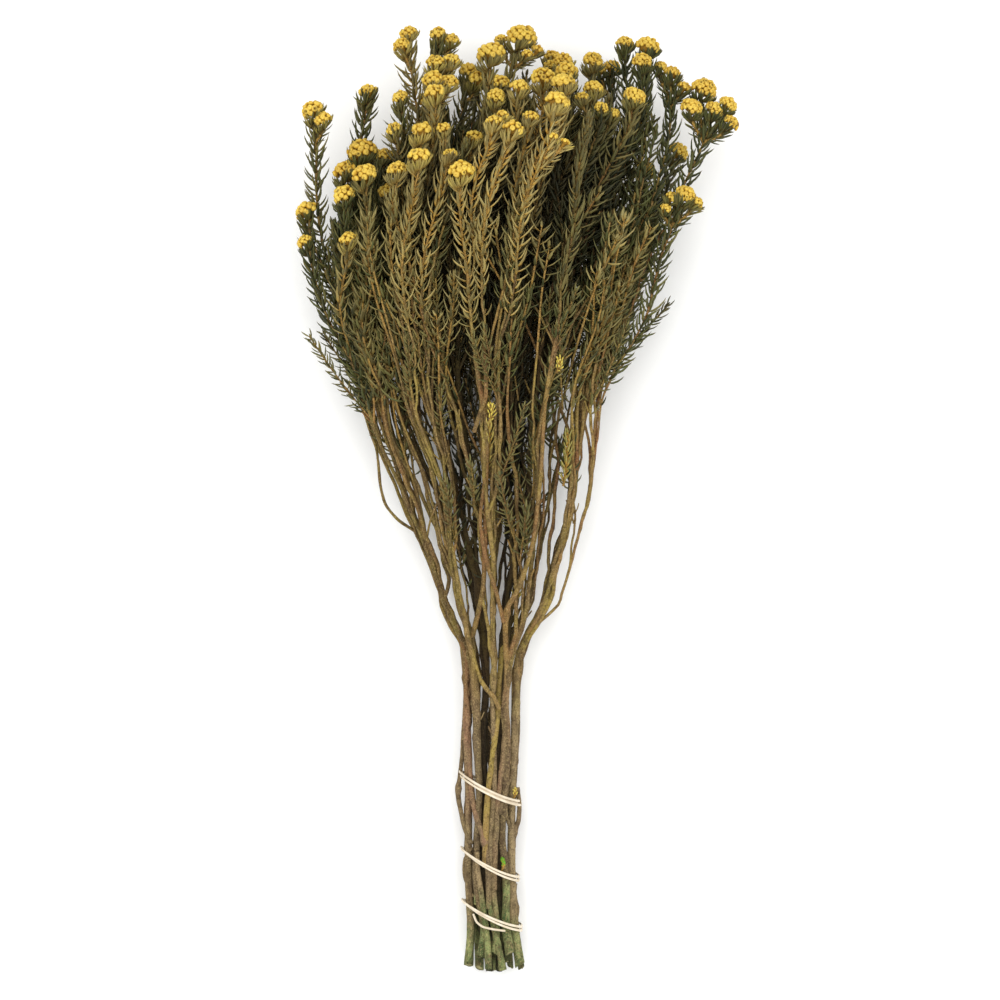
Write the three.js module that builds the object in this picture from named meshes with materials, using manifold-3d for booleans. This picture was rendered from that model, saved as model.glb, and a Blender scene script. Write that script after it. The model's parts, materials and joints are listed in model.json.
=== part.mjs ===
// A tied bunch of dried phylica lying on its side: woody forking stems with short needle leaves,
// round heads of small yellow florets at the shoot tips, and three rubber bands round the bare ends.
// Millimetres. The cut ends point to -Y, the flower heads to +Y, +Z is up and the bunch lies on z = 0.

import * as THREE from 'three';
import Module from 'manifold-3d';

const wasm = await Module();
wasm.setup();
const UP = new THREE.Vector3(0, 0, 1);

// The bunch as a bundle of lines: for each height along it, the half width and half depth
// at which its outermost stems run, and the middle of the bundle across and above the ground.
const BUNDLE = [
  { along: 0, width: 12.2, depth: 10.6, x: 0, z: 16.05 },
  { along: 60, width: 11.6, depth: 10.4, x: -2.4, z: 15.6 },
  { along: 120, width: 13.2, depth: 11.6, x: -2, z: 17.3 },
  { along: 165, width: 15.6, depth: 13.6, x: -1, z: 20 },
  { along: 200, width: 31, depth: 19, x: -0.8, z: 25 },
  { along: 250, width: 48, depth: 29, x: -2, z: 34 },
  { along: 300, width: 63, depth: 37, x: -6.5, z: 43 },
  { along: 355, width: 83, depth: 45, x: -3.4, z: 51 },
  { along: 410, width: 98, depth: 51, x: 3.4, z: 56 },
  { along: 455, width: 106, depth: 52, x: 14, z: 58 },
  { along: 510, width: 106, depth: 51, x: 17, z: 58 },
];

// Stems stand in two rings where they are bound.
const INNER_STEMS = 4;
const INNER_RING = 0.43;
const OUTER_STEMS = 10;
const STEM_RADIUS = 2.95;
const CUT_UNEVEN = 11;
const STEM_TAPER = 0.0055;

// Wood: a branch that carries n shoots has the twig radius times n to the power below.
// It leaves its parent from a small root on one side and stands clear after a shoulder.
const TWIG_RADIUS = 1.0;
const FORK_POWER = 0.42;
const WOOD_STEP = 28;
const TRUNK_SIDES = 5;
const TWIG_SIDES = 3;
const SHOULDER_UP = 13;
const SHOULDER_CLEAR = 0.9;
const FORK_ROOT = 1.7;
const SIDE_ROOT = 1.4;
const FORKS_FROM = 115;
const FORK_STEP = 14;
const LEAST_SHOOT = 52;
const SIDE_RADIUS = 0.75;
const GAP = 0.35;

// Leafy shoots: whorls of three needles, each whorl turned half a gap from the one below.
const WHORL_STEP = 14;
const WHORL_STEP_UNDER = 18;
const NEEDLES_A_WHORL = 3;
const LEAFY_LENGTH = 60;
const LEAFY_EDGE_EXTRA = 34;
const NEEDLE_LENGTH = 6.6;
const NEEDLE_BASE = 1.15;
const NEEDLE_CLEAR = 0.5;
const NEEDLE_BENDS = [1, 0.7, 1.3];

// Flower heads: florets stand up from a ball by these shares of its radius.
const FLORET_TOP = 1.1;
const FLORET_VALLEY = 0.86;
const HEAD_SQUASH = 0.84;
const SMALL_HEAD = 9.2;
const NECK_RADIUS = 1.3;
const NECK_REACH = 0.6;
const HEAD_SLIVER = 0.05;
const HEAD_NODES = 43;
const SIDE_BRANCH = 17;
const LEAST_SIDE = 11;

// Rubber bands: place along the bunch, slant across it and number of turns.
const BAND_WIDE = 1.4;
const BAND_THICK = 1.0;
const BAND_STEPS = 18;
const BAND_FLAT = 0.4;
const BAND_GAP = 0.55;
const BAND_SWING = [{ side: 1.04, lift: 0.84 }, { side: 1.22, lift: 0.94 }];
const BANDS = [
  { name: 'band_upper', along: 98, slant: -0.5, turns: 3 },
  { name: 'band_middle', along: 58, slant: -0.52, turns: 2 },
  { name: 'band_lower', along: 31, slant: -0.46, turns: 2 },
];

// Shoot tips that the eye meets from above: place across and along, layer from 0 at the middle
// of the bunch to 1 at its upper face, width of the head (0 is a leafy tip), and the heads that
// share the tip: shift across, shift along, shift up, width.
const SHOOTS = [
  { at: [-44, 495, 0.05, 9], more: [[-3.5, -6.5, 5.5, 8.5]] },
  { at: [-30, 495, 0, 8.5], more: [[7, -3, -2, 8]] },
  { at: [-30, 479, 0.2, 9.5], more: [[8, 1, -2, 9]] },
  { at: [-31, 470, 0.36, 10.5], more: [[8.5, -1.5, -1, 9.5]] },
  { at: [-28.5, 462, 0.55, 11] },
  { at: [-15, 476, -0.12, 10], more: [[5.5, -5, 5, 10.5]] },
  { at: [-0.5, 484, 0.12, 14] },
  { at: [15, 494, 0, 15], more: [[-11, -2, -3, 7], [8, -8, 4, 6.5], [3, -10, 7, 6]] },
  { at: [28.5, 484, -0.28, 8], more: [[-1, -5, 5.5, 6.5]] },
  { at: [36.5, 481, 0.06, 9] },
  { at: [38, 475, 0.22, 11] },
  { at: [50, 481, -0.05, 10.5] },
  { at: [61, 479, -0.5, 8.5], more: [[-6.5, -2, 3, 7]] },
  { at: [35.5, 467, 0.62, 12] },
  { at: [24, 471, 0.38, 12] },
  { at: [14, 465, 0.55, 10] },
  { at: [3.5, 461, 0.42, 9] },
  { at: [4.5, 469, 0.16, 9] },
  { at: [49.5, 465, 0.32, 10.5], more: [[-6, -4.5, 5, 6.5]] },
  { at: [54, 455, 0.5, 7] },
  { at: [33, 456, 0.8, 13.5] },
  { at: [-0.5, 446, 0.8, 9], more: [[4, 3.5, -3, 7]] },
  { at: [9.5, 442, 0.9, 11] },
  { at: [19.5, 449, 0.74, 8] },
  { at: [-11.5, 439, 0.55, 9] },
  { at: [-26, 444, 0.62, 7] },
  { at: [-37.5, 442, 0.66, 11.5] },
  { at: [-53, 444, 0.5, 7.5] },
  { at: [-40.5, 428, 0.88, 12] },
  { at: [-23, 430, 0.78, 7.5] },
  { at: [-51.5, 422, 0.82, 10] },
  { at: [-16.5, 420, 0.92, 14] },
  { at: [-47.5, 461, 0.3, 8] },
  { at: [30, 438, 0.95, 5], more: [[6, -2.5, 1, 5]] },
  { at: [50.5, 449, 0.75, 0] },
  { at: [60, 452, 0.4, 7] },
  { at: [70.5, 461, 0.45, 11] },
  { at: [69.5, 490, 0, 9] },
  { at: [80, 488, 0.02, 12.5] },
  { at: [77.5, 480, 0.24, 10] },
  { at: [94, 474, 0, 9], more: [[-6, 4, -2, 6.5], [6, -7, 1, 7]] },
  {
    at: [115, 455, 0.15, 10],
    more: [[-5, 11, -3, 13], [-11.5, 1, 5, 11], [7.5, 3, -3, 9.5], [10.5, -7, 1, 9]],
  },
  {
    at: [98.5, 410, 0.75, 11],
    more: [[-7, -1, -2, 6.5], [6, -4, 2, 6.5], [-10.5, -7, 2, 5.5]],
  },
  { at: [-93, 455, 0, 11.5], more: [[5.5, -5, 4, 9]] },
  { at: [-65, 465, -0.22, 9.5] },
  { at: [-70.5, 433, 0.05, 15] },
  { at: [-79.5, 423, 0.12, 12] },
  { at: [-67.5, 420, 0.6, 12.5] },
  { at: [-58.5, 431, 0.1, 8.5] },
  { at: [-80.5, 410, 0.6, 11] },
  { at: [-57, 412, 0.36, 9] },
  { at: [-98.5, 402, -0.05, 12] },
  { at: [-101.5, 386, 0.5, 8] },
  { at: [-79, 386, 0.98, 9.5] },
  { at: [-69, 360, 0.85, 0] },
  { at: [-71.5, 340, 0.82, 0] },
  { at: [32.5, 324, 0.6, 6] },
  { at: [-2, 297, 0.6, 0] },
  { at: [38, 281, 0.55, 0] },
];

// The side that faces the ground is filled by a rule: rows of tips from one edge to the other.
const UNDER_ROWS = [
  { layer: -0.42, count: 6, from: -0.8, to: 0.86, along: 462, fall: 34, head: 10.5 },
  { layer: -0.74, count: 5, from: -0.7, to: 0.74, along: 446, fall: 26, head: 10 },
  { layer: -0.97, count: 4, from: -0.42, to: 0.44, along: 426, fall: 18, head: 11 },
];
const REST_LAYER = -0.9;

// A steady stand-in for chance: the same number for the same two indices.
function chance(index, salt) {
  const wave = Math.sin(index * 127.1 + salt * 311.7) * 43758.5453;
  return wave - Math.floor(wave);
}

const smooth = (t) => {
  const s = Math.min(1, Math.max(0, t));
  return s * s * (3 - 2 * s);
};
const mix = (a, b, t) => a + (b - a) * t;

// Cubic through rows of values keyed by their place along the bunch, with softened slopes.
function along(rows, key, at) {
  let i = 0;
  while (i < rows.length - 2 && at > rows[i + 1].along) i += 1;
  const slope = (k) => {
    const before = rows[Math.max(0, k - 1)];
    const after = rows[Math.min(rows.length - 1, k + 1)];
    return (0.75 * (after[key] - before[key])) / (after.along - before.along);
  };
  const a = rows[i];
  const b = rows[i + 1];
  const span = b.along - a.along;
  const t = Math.min(1.2, Math.max(-0.2, (at - a.along) / span));
  const t2 = t * t;
  const t3 = t2 * t;
  return (2 * t3 - 3 * t2 + 1) * a[key] + (t3 - 2 * t2 + t) * span * slope(i)
    + (3 * t2 - 2 * t3) * b[key] + (t3 - t2) * span * slope(i + 1);
}
const bundle = (key, at) => along(BUNDLE, key, at);

// From a place in the bundle (share of half width and half depth) to a point in space.
function place(u, v, at) {
  const x = bundle('x', at) + bundle('width', at) * u;
  const z = bundle('z', at) + bundle('depth', at) * v;
  return new THREE.Vector3(x, at, z);
}
function share(x, at, z) {
  return {
    u: (x - bundle('x', at)) / bundle('width', at),
    v: (z - bundle('z', at)) / bundle('depth', at),
  };
}

// All shoot tips: those seen from above, then the rule for the side that faces the ground.
function listTips() {
  const tips = SHOOTS.map((shoot) => {
    const [x, at, layer, head] = shoot.at;
    const u = share(x, at, 0).u;
    const v = layer * Math.sqrt(Math.max(0.05, 1 - u * u));
    return { u, v, at, head, more: shoot.more ?? [], rests: false, under: false };
  });
  for (const row of UNDER_ROWS) {
    for (let k = 0; k < row.count; k += 1) {
      const n = tips.length;
      const u = mix(row.from, row.to, k / (row.count - 1)) + 0.06 * (chance(n, 1) - 0.5);
      const at = row.along - row.fall * u * u + 22 * (chance(n, 2) - 0.5);
      const rests = row.layer < REST_LAYER && (k === 0 || k === row.count - 1);
      const head = row.head + 2.5 * (chance(n, 3) - 0.5);
      const v = rests ? share(0, at, 0.45 * head).v : row.layer * Math.sqrt(1 - u * u);
      tips.push({ u, v, at, head, more: [], rests, under: true });
    }
  }
  return tips;
}

// Where each stem stands in the bundle: an inner and an outer ring.
function listStems() {
  const stems = [];
  for (let k = 0; k < INNER_STEMS; k += 1) {
    const angle = ((k + 0.5) * 2 * Math.PI) / INNER_STEMS;
    stems.push({ u: INNER_RING * Math.cos(angle), v: INNER_RING * Math.sin(angle) });
  }
  for (let k = 0; k < OUTER_STEMS; k += 1) {
    const angle = ((k + 0.5) * 2 * Math.PI) / OUTER_STEMS;
    stems.push({ u: Math.cos(angle), v: Math.sin(angle) });
  }
  return stems.map((stem, index) => ({ ...stem, index, tips: [] }));
}

// A path keeps its forks as places in the bundle, and leaves its parent's line smoothly.
function makePath(stem, forks, parent, seed) {
  const start = forks[0].along;
  const raw = (at) => {
    const p = place(along(forks, 'u', at), along(forks, 'v', at), at);
    const free = smooth((at - 110) / 90);
    p.x += free * (1.5 * Math.sin(at / 31 + stem * 1.7) + 0.8 * Math.sin(at / 11.5 + stem * 2.3));
    p.z += free * (1.3 * Math.sin(at / 27 + stem * 2.9) + 0.7 * Math.sin(at / 13 + stem * 4.1));
    return p;
  };
  const own = (at) => {
    const grown = smooth((at - Math.max(start, 120)) / 45);
    return new THREE.Vector3(
      grown * 0.9 * Math.sin(at / 17 + seed * 2.1),
      0,
      grown * 0.9 * Math.sin(at / 19 + seed * 3.7),
    );
  };
  const step = new THREE.Vector3();
  if (parent) step.copy(parent(start)).sub(raw(start));
  return (at) => raw(at).add(own(at)).addScaledVector(step, 1 - smooth((at - start) / 40));
}

// Splits the tips of a stem in two again and again; each split is a fork on the way up.
// The half that leaves starts on the trunk and stands off by its shoulder before it follows on.
function growBranches(stem, members, path, trunk, made) {
  const last = path[path.length - 1];
  if (members.length === 1) {
    const tip = members[0];
    const forks = [...path, { along: tip.at, u: tip.u, v: tip.v }];
    return { ...trunk, stem, tip, line: makePath(stem.index, forks, trunk.parent, tip.index), made };
  }
  const mean = (list, key) => list.reduce((sum, tip) => sum + tip[key], 0) / list.length;
  const range = (key) => Math.max(...members.map((t) => t[key])) - Math.min(...members.map((t) => t[key]));
  const lowest = Math.min(...members.map((tip) => tip.at));
  const key = range('u') * 1.8 > range('v') ? 'u' : 'v';
  const sorted = [...members].sort((a, b) => a[key] - b[key]);
  const half = Math.ceil(sorted.length / 2);
  const keep = sorted.slice(0, half);
  const leave = sorted.slice(half);
  const reach = mix(0.3, 0.46, chance(stem.index * 7 + members.length, 5));
  const from = Math.max(last.along, FORKS_FROM);
  const fork = Math.max(last.along + FORK_STEP, Math.min(lowest - LEAST_SHOOT, mix(from, lowest, reach)));
  const pull = Math.pow(Math.max(0, (fork - 90) / (mean(members, 'at') - 90)), 1.25);
  const root = path[0].along === 0 ? path[0] : last;
  const spot = {
    along: fork,
    u: mix(mix(stem.u, root.u, 0.5), mean(members, 'u'), pull),
    v: mix(mix(stem.v, root.v, 0.5), mean(members, 'v'), pull),
  };
  const toward = { u: mean(leave, 'u') - mean(keep, 'u'), v: mean(leave, 'v') - mean(keep, 'v') };
  const far = Math.hypot(toward.u * bundle('width', fork), toward.v * bundle('depth', fork));
  const out = woodRadius(trunk, fork) + thickness(leave.length) + SHOULDER_CLEAR;
  const shoulder = {
    along: fork + SHOULDER_UP,
    u: spot.u + (toward.u * out) / far,
    v: spot.v + (toward.v * out) / far,
  };
  const loads = [...trunk.loads, { above: fork, count: half }];
  const branch = growBranches(stem, keep, [...path, spot], { ...trunk, loads }, made);
  const child = growBranches(stem, leave, [spot, shoulder], {
    start: fork,
    sides: TWIG_SIDES,
    loads: [{ above: 0, count: leave.length }],
    parent: branch.line,
  }, []);
  child.made.sort((a, b) => a.fork - b.fork);
  made.push({ fork, branch: child });
  return branch;
}

// Radius of a branch at a height, from the number of shoots that it still carries there.
const thickness = (shoots) => TWIG_RADIUS * Math.pow(shoots, FORK_POWER);
function woodRadius(branch, at) {
  let count = branch.loads[0].count;
  for (const load of branch.loads) {
    if (at > load.above) count = load.count;
  }
  const foot = branch.start === 0 ? STEM_RADIUS - at * STEM_TAPER : 0;
  return Math.max(thickness(count), foot);
}

// Each ring faces along the line, with one side level.
function setFrames(rings) {
  rings.forEach((ring, k) => {
    const next = rings[Math.min(k + 1, rings.length - 1)].centre;
    const previous = rings[Math.max(k - 1, 0)].centre;
    ring.forward = next.clone().sub(previous).normalize();
    ring.side = new THREE.Vector3().crossVectors(ring.forward, UP).normalize();
    ring.over = new THREE.Vector3().crossVectors(ring.forward, ring.side);
  });
}
function outward(ring, angle) {
  return ring.side.clone().multiplyScalar(Math.cos(angle)).addScaledVector(ring.over, Math.sin(angle));
}

// Turns a ring on its line so that one of its sides faces an angle, by the smallest twist.
function turnTo(angle, sides, before) {
  const gap = (2 * Math.PI) / sides;
  const wanted = angle - Math.PI / sides;
  return wanted + gap * Math.round((before - wanted) / gap);
}

function addRing(mesh, ring, sides) {
  return Array.from({ length: sides }, (_, j) => {
    const out = outward(ring, (2 * Math.PI * j) / sides + ring.turn);
    mesh.points.push(ring.centre.clone().addScaledVector(out, ring.radius));
    return mesh.points.length - 1;
  });
}

// The wall between two rings. A side of the lower ring may carry a sprout: its root is a small
// triangle on that side, from which a needle or a branch stands up.
function addWall(mesh, lower, upper, sprouts, twist) {
  const sides = lower.length;
  const roots = [];
  for (let j = 0; j < sides; j += 1) {
    const [a, b, c, d] = [lower[j], lower[(j + 1) % sides], upper[(j + 1) % sides], upper[j]];
    const top = twist < 0 ? c : d;
    const sprout = sprouts && sprouts[j];
    if (sprout) {
      const middle = mesh.points[a].clone().add(mesh.points[b]).multiplyScalar(0.5);
      const up = mesh.points[top].clone().sub(middle);
      mesh.points.push(middle.addScaledVector(up, sprout.root / up.length()));
      const p = mesh.points.length - 1;
      mesh.triangles.push([a, p, top], [p, b, top]);
      roots.push({ loop: [a, b, p], sprout });
    } else {
      mesh.triangles.push([a, b, top]);
    }
    mesh.triangles.push(twist < 0 ? [a, c, d] : [d, b, c]);
  }
  return roots;
}

// A strip of triangles between two loops of points with unlike counts.
function addStrip(mesh, lower, upper) {
  const gap = (i, k) => mesh.points[lower[i % lower.length]].distanceTo(mesh.points[upper[k % upper.length]]);
  const starts = upper.map((_, k) => k).sort((a, b) => gap(0, a) - gap(0, b));
  let [i, k] = [0, starts[0]];
  const [endI, endK] = [lower.length, starts[0] + upper.length];
  while (i < endI || k < endK) {
    const [a, d] = [lower[i % lower.length], upper[k % upper.length]];
    if (k >= endK || (i < endI && gap(i + 1, k) < gap(i, k + 1))) {
      mesh.triangles.push([a, lower[(i + 1) % lower.length], d]);
      i += 1;
    } else {
      mesh.triangles.push([a, upper[(k + 1) % upper.length], d]);
      k += 1;
    }
  }
}

// A tube along rings, from a cap or from the root of a sprout, with all that stands on it.
function addTube(mesh, rings, sides, loop, end) {
  let lower = loop;
  if (!loop) {
    lower = addRing(mesh, rings[0], sides);
    for (let j = 1; j + 1 < sides; j += 1) mesh.triangles.push([lower[0], lower[j + 1], lower[j]]);
  }
  const roots = [];
  for (let k = loop ? 0 : 1; k < rings.length; k += 1) {
    const upper = addRing(mesh, rings[k], sides);
    const below = k > 0 ? rings[k - 1] : null;
    const twist = below ? rings[k].turn - below.turn : 0;
    roots.push(...addWall(mesh, lower, upper, below && below.sprouts, twist));
    lower = upper;
  }
  if (end) {
    const foot = headGeometry(end, 0);
    const shift = mesh.points.length;
    mesh.points.push(...foot.points);
    const open = foot.triangles.filter((t) => !t.includes(0));
    mesh.triangles.push(...open.map((t) => t.map((i) => i + shift)));
    addStrip(mesh, lower, foot.foot.map((i) => i + shift));
  } else {
    for (let j = 1; j + 1 < sides; j += 1) mesh.triangles.push([lower[0], lower[j], lower[j + 1]]);
  }
  for (const { loop: root, sprout } of roots) {
    if (sprout.apex) {
      mesh.points.push(sprout.apex);
      const q = mesh.points.length - 1;
      for (let j = 0; j < 3; j += 1) mesh.triangles.push([root[j], root[(j + 1) % 3], q]);
    } else {
      sprout.grow(mesh, root);
    }
  }
}

// A branch leaves with a corner of its first ring towards its parent, over the top of its root.
function inwardTurn(ring, away) {
  return Math.atan2(away.dot(ring.over), away.dot(ring.side)) + Math.PI;
}
const topFirst = ([a, b, top]) => [top, a, b];

// A closed mesh as a solid that can be joined and cut.
function solid({ points, triangles }) {
  const vertProperties = new Float32Array(points.flatMap((p) => [p.x, p.y, p.z]));
  const triVerts = new Uint32Array(triangles.flat());
  return new wasm.Manifold(new wasm.Mesh({ numProp: 3, vertProperties, triVerts }));
}

// Florets raised from a ball: every corner of a regular body is a floret, and the middles of its
// faces are the valleys between florets. The corner that sits on the shoot stays low.
function headGeometry(head, grow) {
  const body = head.wide > SMALL_HEAD
    ? new THREE.IcosahedronGeometry(1, 0)
    : new THREE.OctahedronGeometry(1, 0);
  const corners = [];
  const find = (p) => {
    const known = corners.findIndex((c) => c.distanceTo(p) < 1e-3);
    if (known >= 0) return known;
    corners.push(p);
    return corners.length - 1;
  };
  const position = body.getAttribute('position');
  const faces = [];
  for (let i = 0; i < position.count; i += 3) {
    faces.push([0, 1, 2].map((k) => find(new THREE.Vector3().fromBufferAttribute(position, i + k))));
  }
  const down = corners[0].clone();
  const turn = new THREE.Quaternion().setFromUnitVectors(down, new THREE.Vector3(0, 0, -1));
  const spin = new THREE.Quaternion().setFromAxisAngle(new THREE.Vector3(0, 0, 1), head.spin);
  const aim = new THREE.Quaternion().setFromUnitVectors(new THREE.Vector3(0, 0, 1), head.facing);
  const radius = head.wide / 2 / FLORET_TOP;
  const shape = (direction, reach) => {
    const p = direction.clone().normalize().applyQuaternion(turn).applyQuaternion(spin);
    p.multiplyScalar(radius * reach + grow);
    p.z *= HEAD_SQUASH;
    return p.applyQuaternion(aim).add(head.centre);
  };
  const points = corners.map((c, i) => shape(c, i === 0 ? FLORET_VALLEY * 0.9 : FLORET_TOP));
  const middles = faces.map((face) => {
    const middle = face.reduce((sum, i) => sum.add(corners[i]), new THREE.Vector3());
    points.push(shape(middle, FLORET_VALLEY));
    return points.length - 1;
  });
  const triangles = [];
  faces.forEach((face, f) => {
    for (let k = 0; k < 3; k += 1) {
      const [from, to] = [face[k], face[(k + 1) % 3]];
      const across = faces.findIndex((g, h) => h !== f && g.includes(from) && g.includes(to));
      triangles.push([from, middles[across], middles[f]]);
    }
  });
  const around = triangles.filter((t) => t[0] === 0).map(([, far, near]) => ({ far, near }));
  const foot = [around[0].near];
  while (foot.length < around.length) foot.push(around.find((t) => t.near === foot[foot.length - 1]).far);
  return { points, triangles, foot };
}

// The heads of a shoot: the one at its tip, and those on side branches just below.
function listHeads(branch, tip) {
  if (!tip.head) return [];
  const end = branch.line(tip.at);
  const forward = end.clone().sub(branch.line(tip.at - 12)).normalize();
  const outward = new THREE.Vector3(tip.u * 0.45, 0, tip.v * 0.45);
  const facing = forward.add(outward).normalize();
  const heads = [{ centre: end, facing, wide: tip.head, spin: 6.28 * chance(tip.index, 7), tip }];
  if (tip.rests) end.z -= Math.min(...headGeometry(heads[0], 0).points.map((p) => p.z));
  tip.more.forEach(([x, y, z, wide], k) => {
    const centre = end.clone().add(new THREE.Vector3(x, y, z));
    const lean = facing.clone().add(new THREE.Vector3(x, 0, z).multiplyScalar(0.035)).normalize();
    heads.push({ centre, facing: lean, wide, spin: 6.28 * chance(tip.index, 11 + k), tip });
  });
  return heads;
}

// Rings of a branch from its foot to its tip: bare wood first, then whorls of needles.
// Each whorl is turned by half a gap, so that needles stand on all sides.
function branchRings(branch) {
  const { tip, line, start, sides } = branch;
  const from = start === 0 ? CUT_UNEVEN * chance(branch.stem.index, 13) : start + SHOULDER_UP;
  const leafy = LEAFY_LENGTH + LEAFY_EDGE_EXTRA * Math.min(1, Math.abs(tip.u));
  const firstWhorl = Math.max(from + 10, tip.at - leafy);
  const highest = branch.made.reduce((most, fork) => Math.max(most, fork.fork), 0);
  const whorlFrom = Math.max(firstWhorl, highest + 8);
  const end = tip.head ? headFoot(branch.heads[0]) : line(tip.at);
  const top = (tip.head ? end.y : tip.at) - 4;
  const step = tip.under ? WHORL_STEP_UNDER : WHORL_STEP;
  const bare = Math.max(1, Math.round((whorlFrom - from) / WOOD_STEP));
  const regular = Array.from({ length: bare }, (_, k) => mix(from, whorlFrom, k / bare));
  const forks = branch.made.map((fork) => fork.fork);
  const heights = regular.filter((at) => at === from || !forks.some((fork) => Math.abs(fork - at) < 9));
  const bareRings = [...heights, ...forks].sort((a, b) => a - b).map((at) => (
    { at, centre: line(at), radius: woodRadius(branch, at) }));
  const whorls = Math.max(2, Math.round((top - whorlFrom) / step));
  const leafyRings = Array.from({ length: whorls + 1 }, (_, k) => {
    const near = k / whorls;
    const at = mix(whorlFrom, top, near);
    return {
      at,
      centre: line(at),
      radius: Math.min(woodRadius(branch, at), mix(TWIG_RADIUS * 1.15, TWIG_RADIUS * 0.85, near)),
      tilt: k === whorls && tip.head ? 0.95 : mix(0.85, 0.6, near),
      length: NEEDLE_LENGTH * mix(1, 0.86, near) * mix(0.9, 1.12, chance(tip.index * 31 + k, 17)),
      whorl: k,
    };
  });
  const last = { at: end.y, centre: end, radius: tip.head ? 0.75 : 0.45 };
  const rings = [...bareRings, ...leafyRings, last];
  setFrames(rings);
  let turn = branch.away ? inwardTurn(rings[0], branch.away) : 0.4 * branch.stem.index;
  rings.forEach((ring) => {
    ring.sprouts = [];
    if (ring.whorl > 0 || ring === last) turn += Math.PI / sides;
    ring.turn = turn;
    const fork = branch.made.find((made) => made.fork === ring.at);
    if (!fork) return;
    const away = fork.branch.line(ring.at + SHOULDER_UP).sub(line(ring.at + SHOULDER_UP));
    turn = turnTo(Math.atan2(away.dot(ring.over), away.dot(ring.side)), sides, turn);
    ring.turn = turn;
    fork.branch.away = away;
    ring.sprouts[facingSide(ring, away, sides)] = {
      root: FORK_ROOT,
      grow: (mesh, loop) => addBranch(mesh, fork.branch, loop),
    };
  });
  return rings;
}

// The direction that a side of a ring faces, and the side that faces best towards something.
const faceOf = (ring, j, sides) => outward(ring, (2 * Math.PI * (j + 0.5)) / sides + ring.turn);
function facingSide(ring, away, sides) {
  const face = (j) => faceOf(ring, j, sides).dot(away);
  return Array.from({ length: sides }, (_, j) => j).reduce((best, j) => (face(j) > face(best) ? j : best));
}

// A side branch bows out from the shoot, clear of the shoot's own head, and ends under its head.
function sideLine(branch, head, ring) {
  const away = head.centre.clone().sub(branch.line(head.centre.y));
  const besideTip = head.centre.y > branch.tip.at - 2;
  const foot = headFoot(head);
  const at = Math.min(foot.y - 2, besideTip ? branch.tip.at - 3 : mix(ring.at, foot.y, 0.6));
  const least = besideTip ? branch.tip.head / 2 + 1.9 : 2.6;
  const out = Math.max(away.length() * (besideTip ? 1 : 0.8), least);
  return [branch.line(at).addScaledVector(away.normalize(), out), foot];
}

// Side branches start on the whorl nearest to where they leave the shoot.
function addSideBranches(branch, rings) {
  const reachOf = (head) => head.centre.distanceTo(branch.line(head.centre.y));
  branch.heads.slice(1).sort((a, b) => reachOf(a) - reachOf(b)).forEach((head) => {
    const away = head.centre.clone().sub(branch.line(head.centre.y));
    const free = rings.filter((ring) => ring.whorl >= 0 && ring.at < branch.tip.at - LEAST_SIDE
      && !ring.sprouts[facingSide(ring, away, branch.sides)]);
    const fromTip = (ring) => Math.abs(ring.at - (branch.tip.at - SIDE_BRANCH));
    const ring = free.reduce((best, other) => (fromTip(other) < fromTip(best) ? other : best));
    const side = facingSide(ring, away, branch.sides);
    const [bow, end] = sideLine(branch, head, ring);
    stretches.push({ branch: head, a: branch.line(ring.at + 2), b: bow, radius: SIDE_RADIUS });
    stretches.push({ branch: head, a: bow, b: end, radius: SIDE_RADIUS });
    ring.sprouts[side] = {
      root: SIDE_ROOT,
      grow: (mesh, loop) => {
        const stub = sideLine(branch, head, ring).map((centre) => ({ centre, radius: SIDE_RADIUS }));
        setFrames(stub);
        const turn = inwardTurn(stub[0], faceOf(ring, side, branch.sides));
        stub.forEach((part) => { part.turn = turn; });
        addTube(mesh, stub, TWIG_SIDES, topFirst(loop), head.ownNode ? null : head);
      },
    };
  });
}

// Where a shoot meets its head: just under the head's foot if the head is a node of its own.
function headFoot(head) {
  const reach = (head.wide / 2 / FLORET_TOP) * FLORET_VALLEY * HEAD_SQUASH;
  return head.centre.clone().addScaledVector(head.facing, -(reach * (head.ownNode ? 0.9 : 1) + GAP + 0.2));
}

// Needles stand on three sides of each whorl, bent clear of whatever is near.
function addNeedles(branch, rings) {
  rings.filter((ring) => ring.whorl >= 0).forEach((ring) => {
    for (let j = 0; j < branch.sides; j += 1) {
      if (ring.sprouts[j] || (j + ring.whorl) % branch.sides >= NEEDLES_A_WHORL) continue;
      const out = faceOf(ring, j, branch.sides);
      const foot = ring.centre.clone()
        .addScaledVector(out, ring.radius * Math.cos(Math.PI / branch.sides))
        .addScaledVector(ring.forward, NEEDLE_BASE / 3);
      const apexes = NEEDLE_BENDS.map((bend) => foot.clone()
        .addScaledVector(out, ring.length * Math.sin(ring.tilt * bend))
        .addScaledVector(ring.forward, ring.length * Math.cos(ring.tilt * bend)));
      const apex = apexes.find((option) => !blocked(branch, foot, option));
      if (!apex) continue;
      needles.push({ branch, foot, apex });
      ring.sprouts[j] = { root: NEEDLE_BASE, apex };
    }
  });
}

// A branch with its needles, its side branches, its own forks and the head that it keeps.
function addBranch(mesh, branch, loop) {
  const rings = branchRings(branch);
  addSideBranches(branch, rings);
  addNeedles(branch, rings);
  const head = branch.heads[0];
  addTube(mesh, rings, branch.sides, loop && topFirst(loop), head && !head.ownNode ? head : null);
}

// Nearest distance between two straight pieces, each given by its ends.
function nearest(a, b, c, d) {
  let least = Infinity;
  for (let i = 0; i <= 4; i += 1) {
    const p = a.clone().lerp(b, i / 4);
    const q = new THREE.Line3(c, d).closestPointToPoint(p, true, new THREE.Vector3());
    least = Math.min(least, p.distanceTo(q));
  }
  return least;
}

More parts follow.
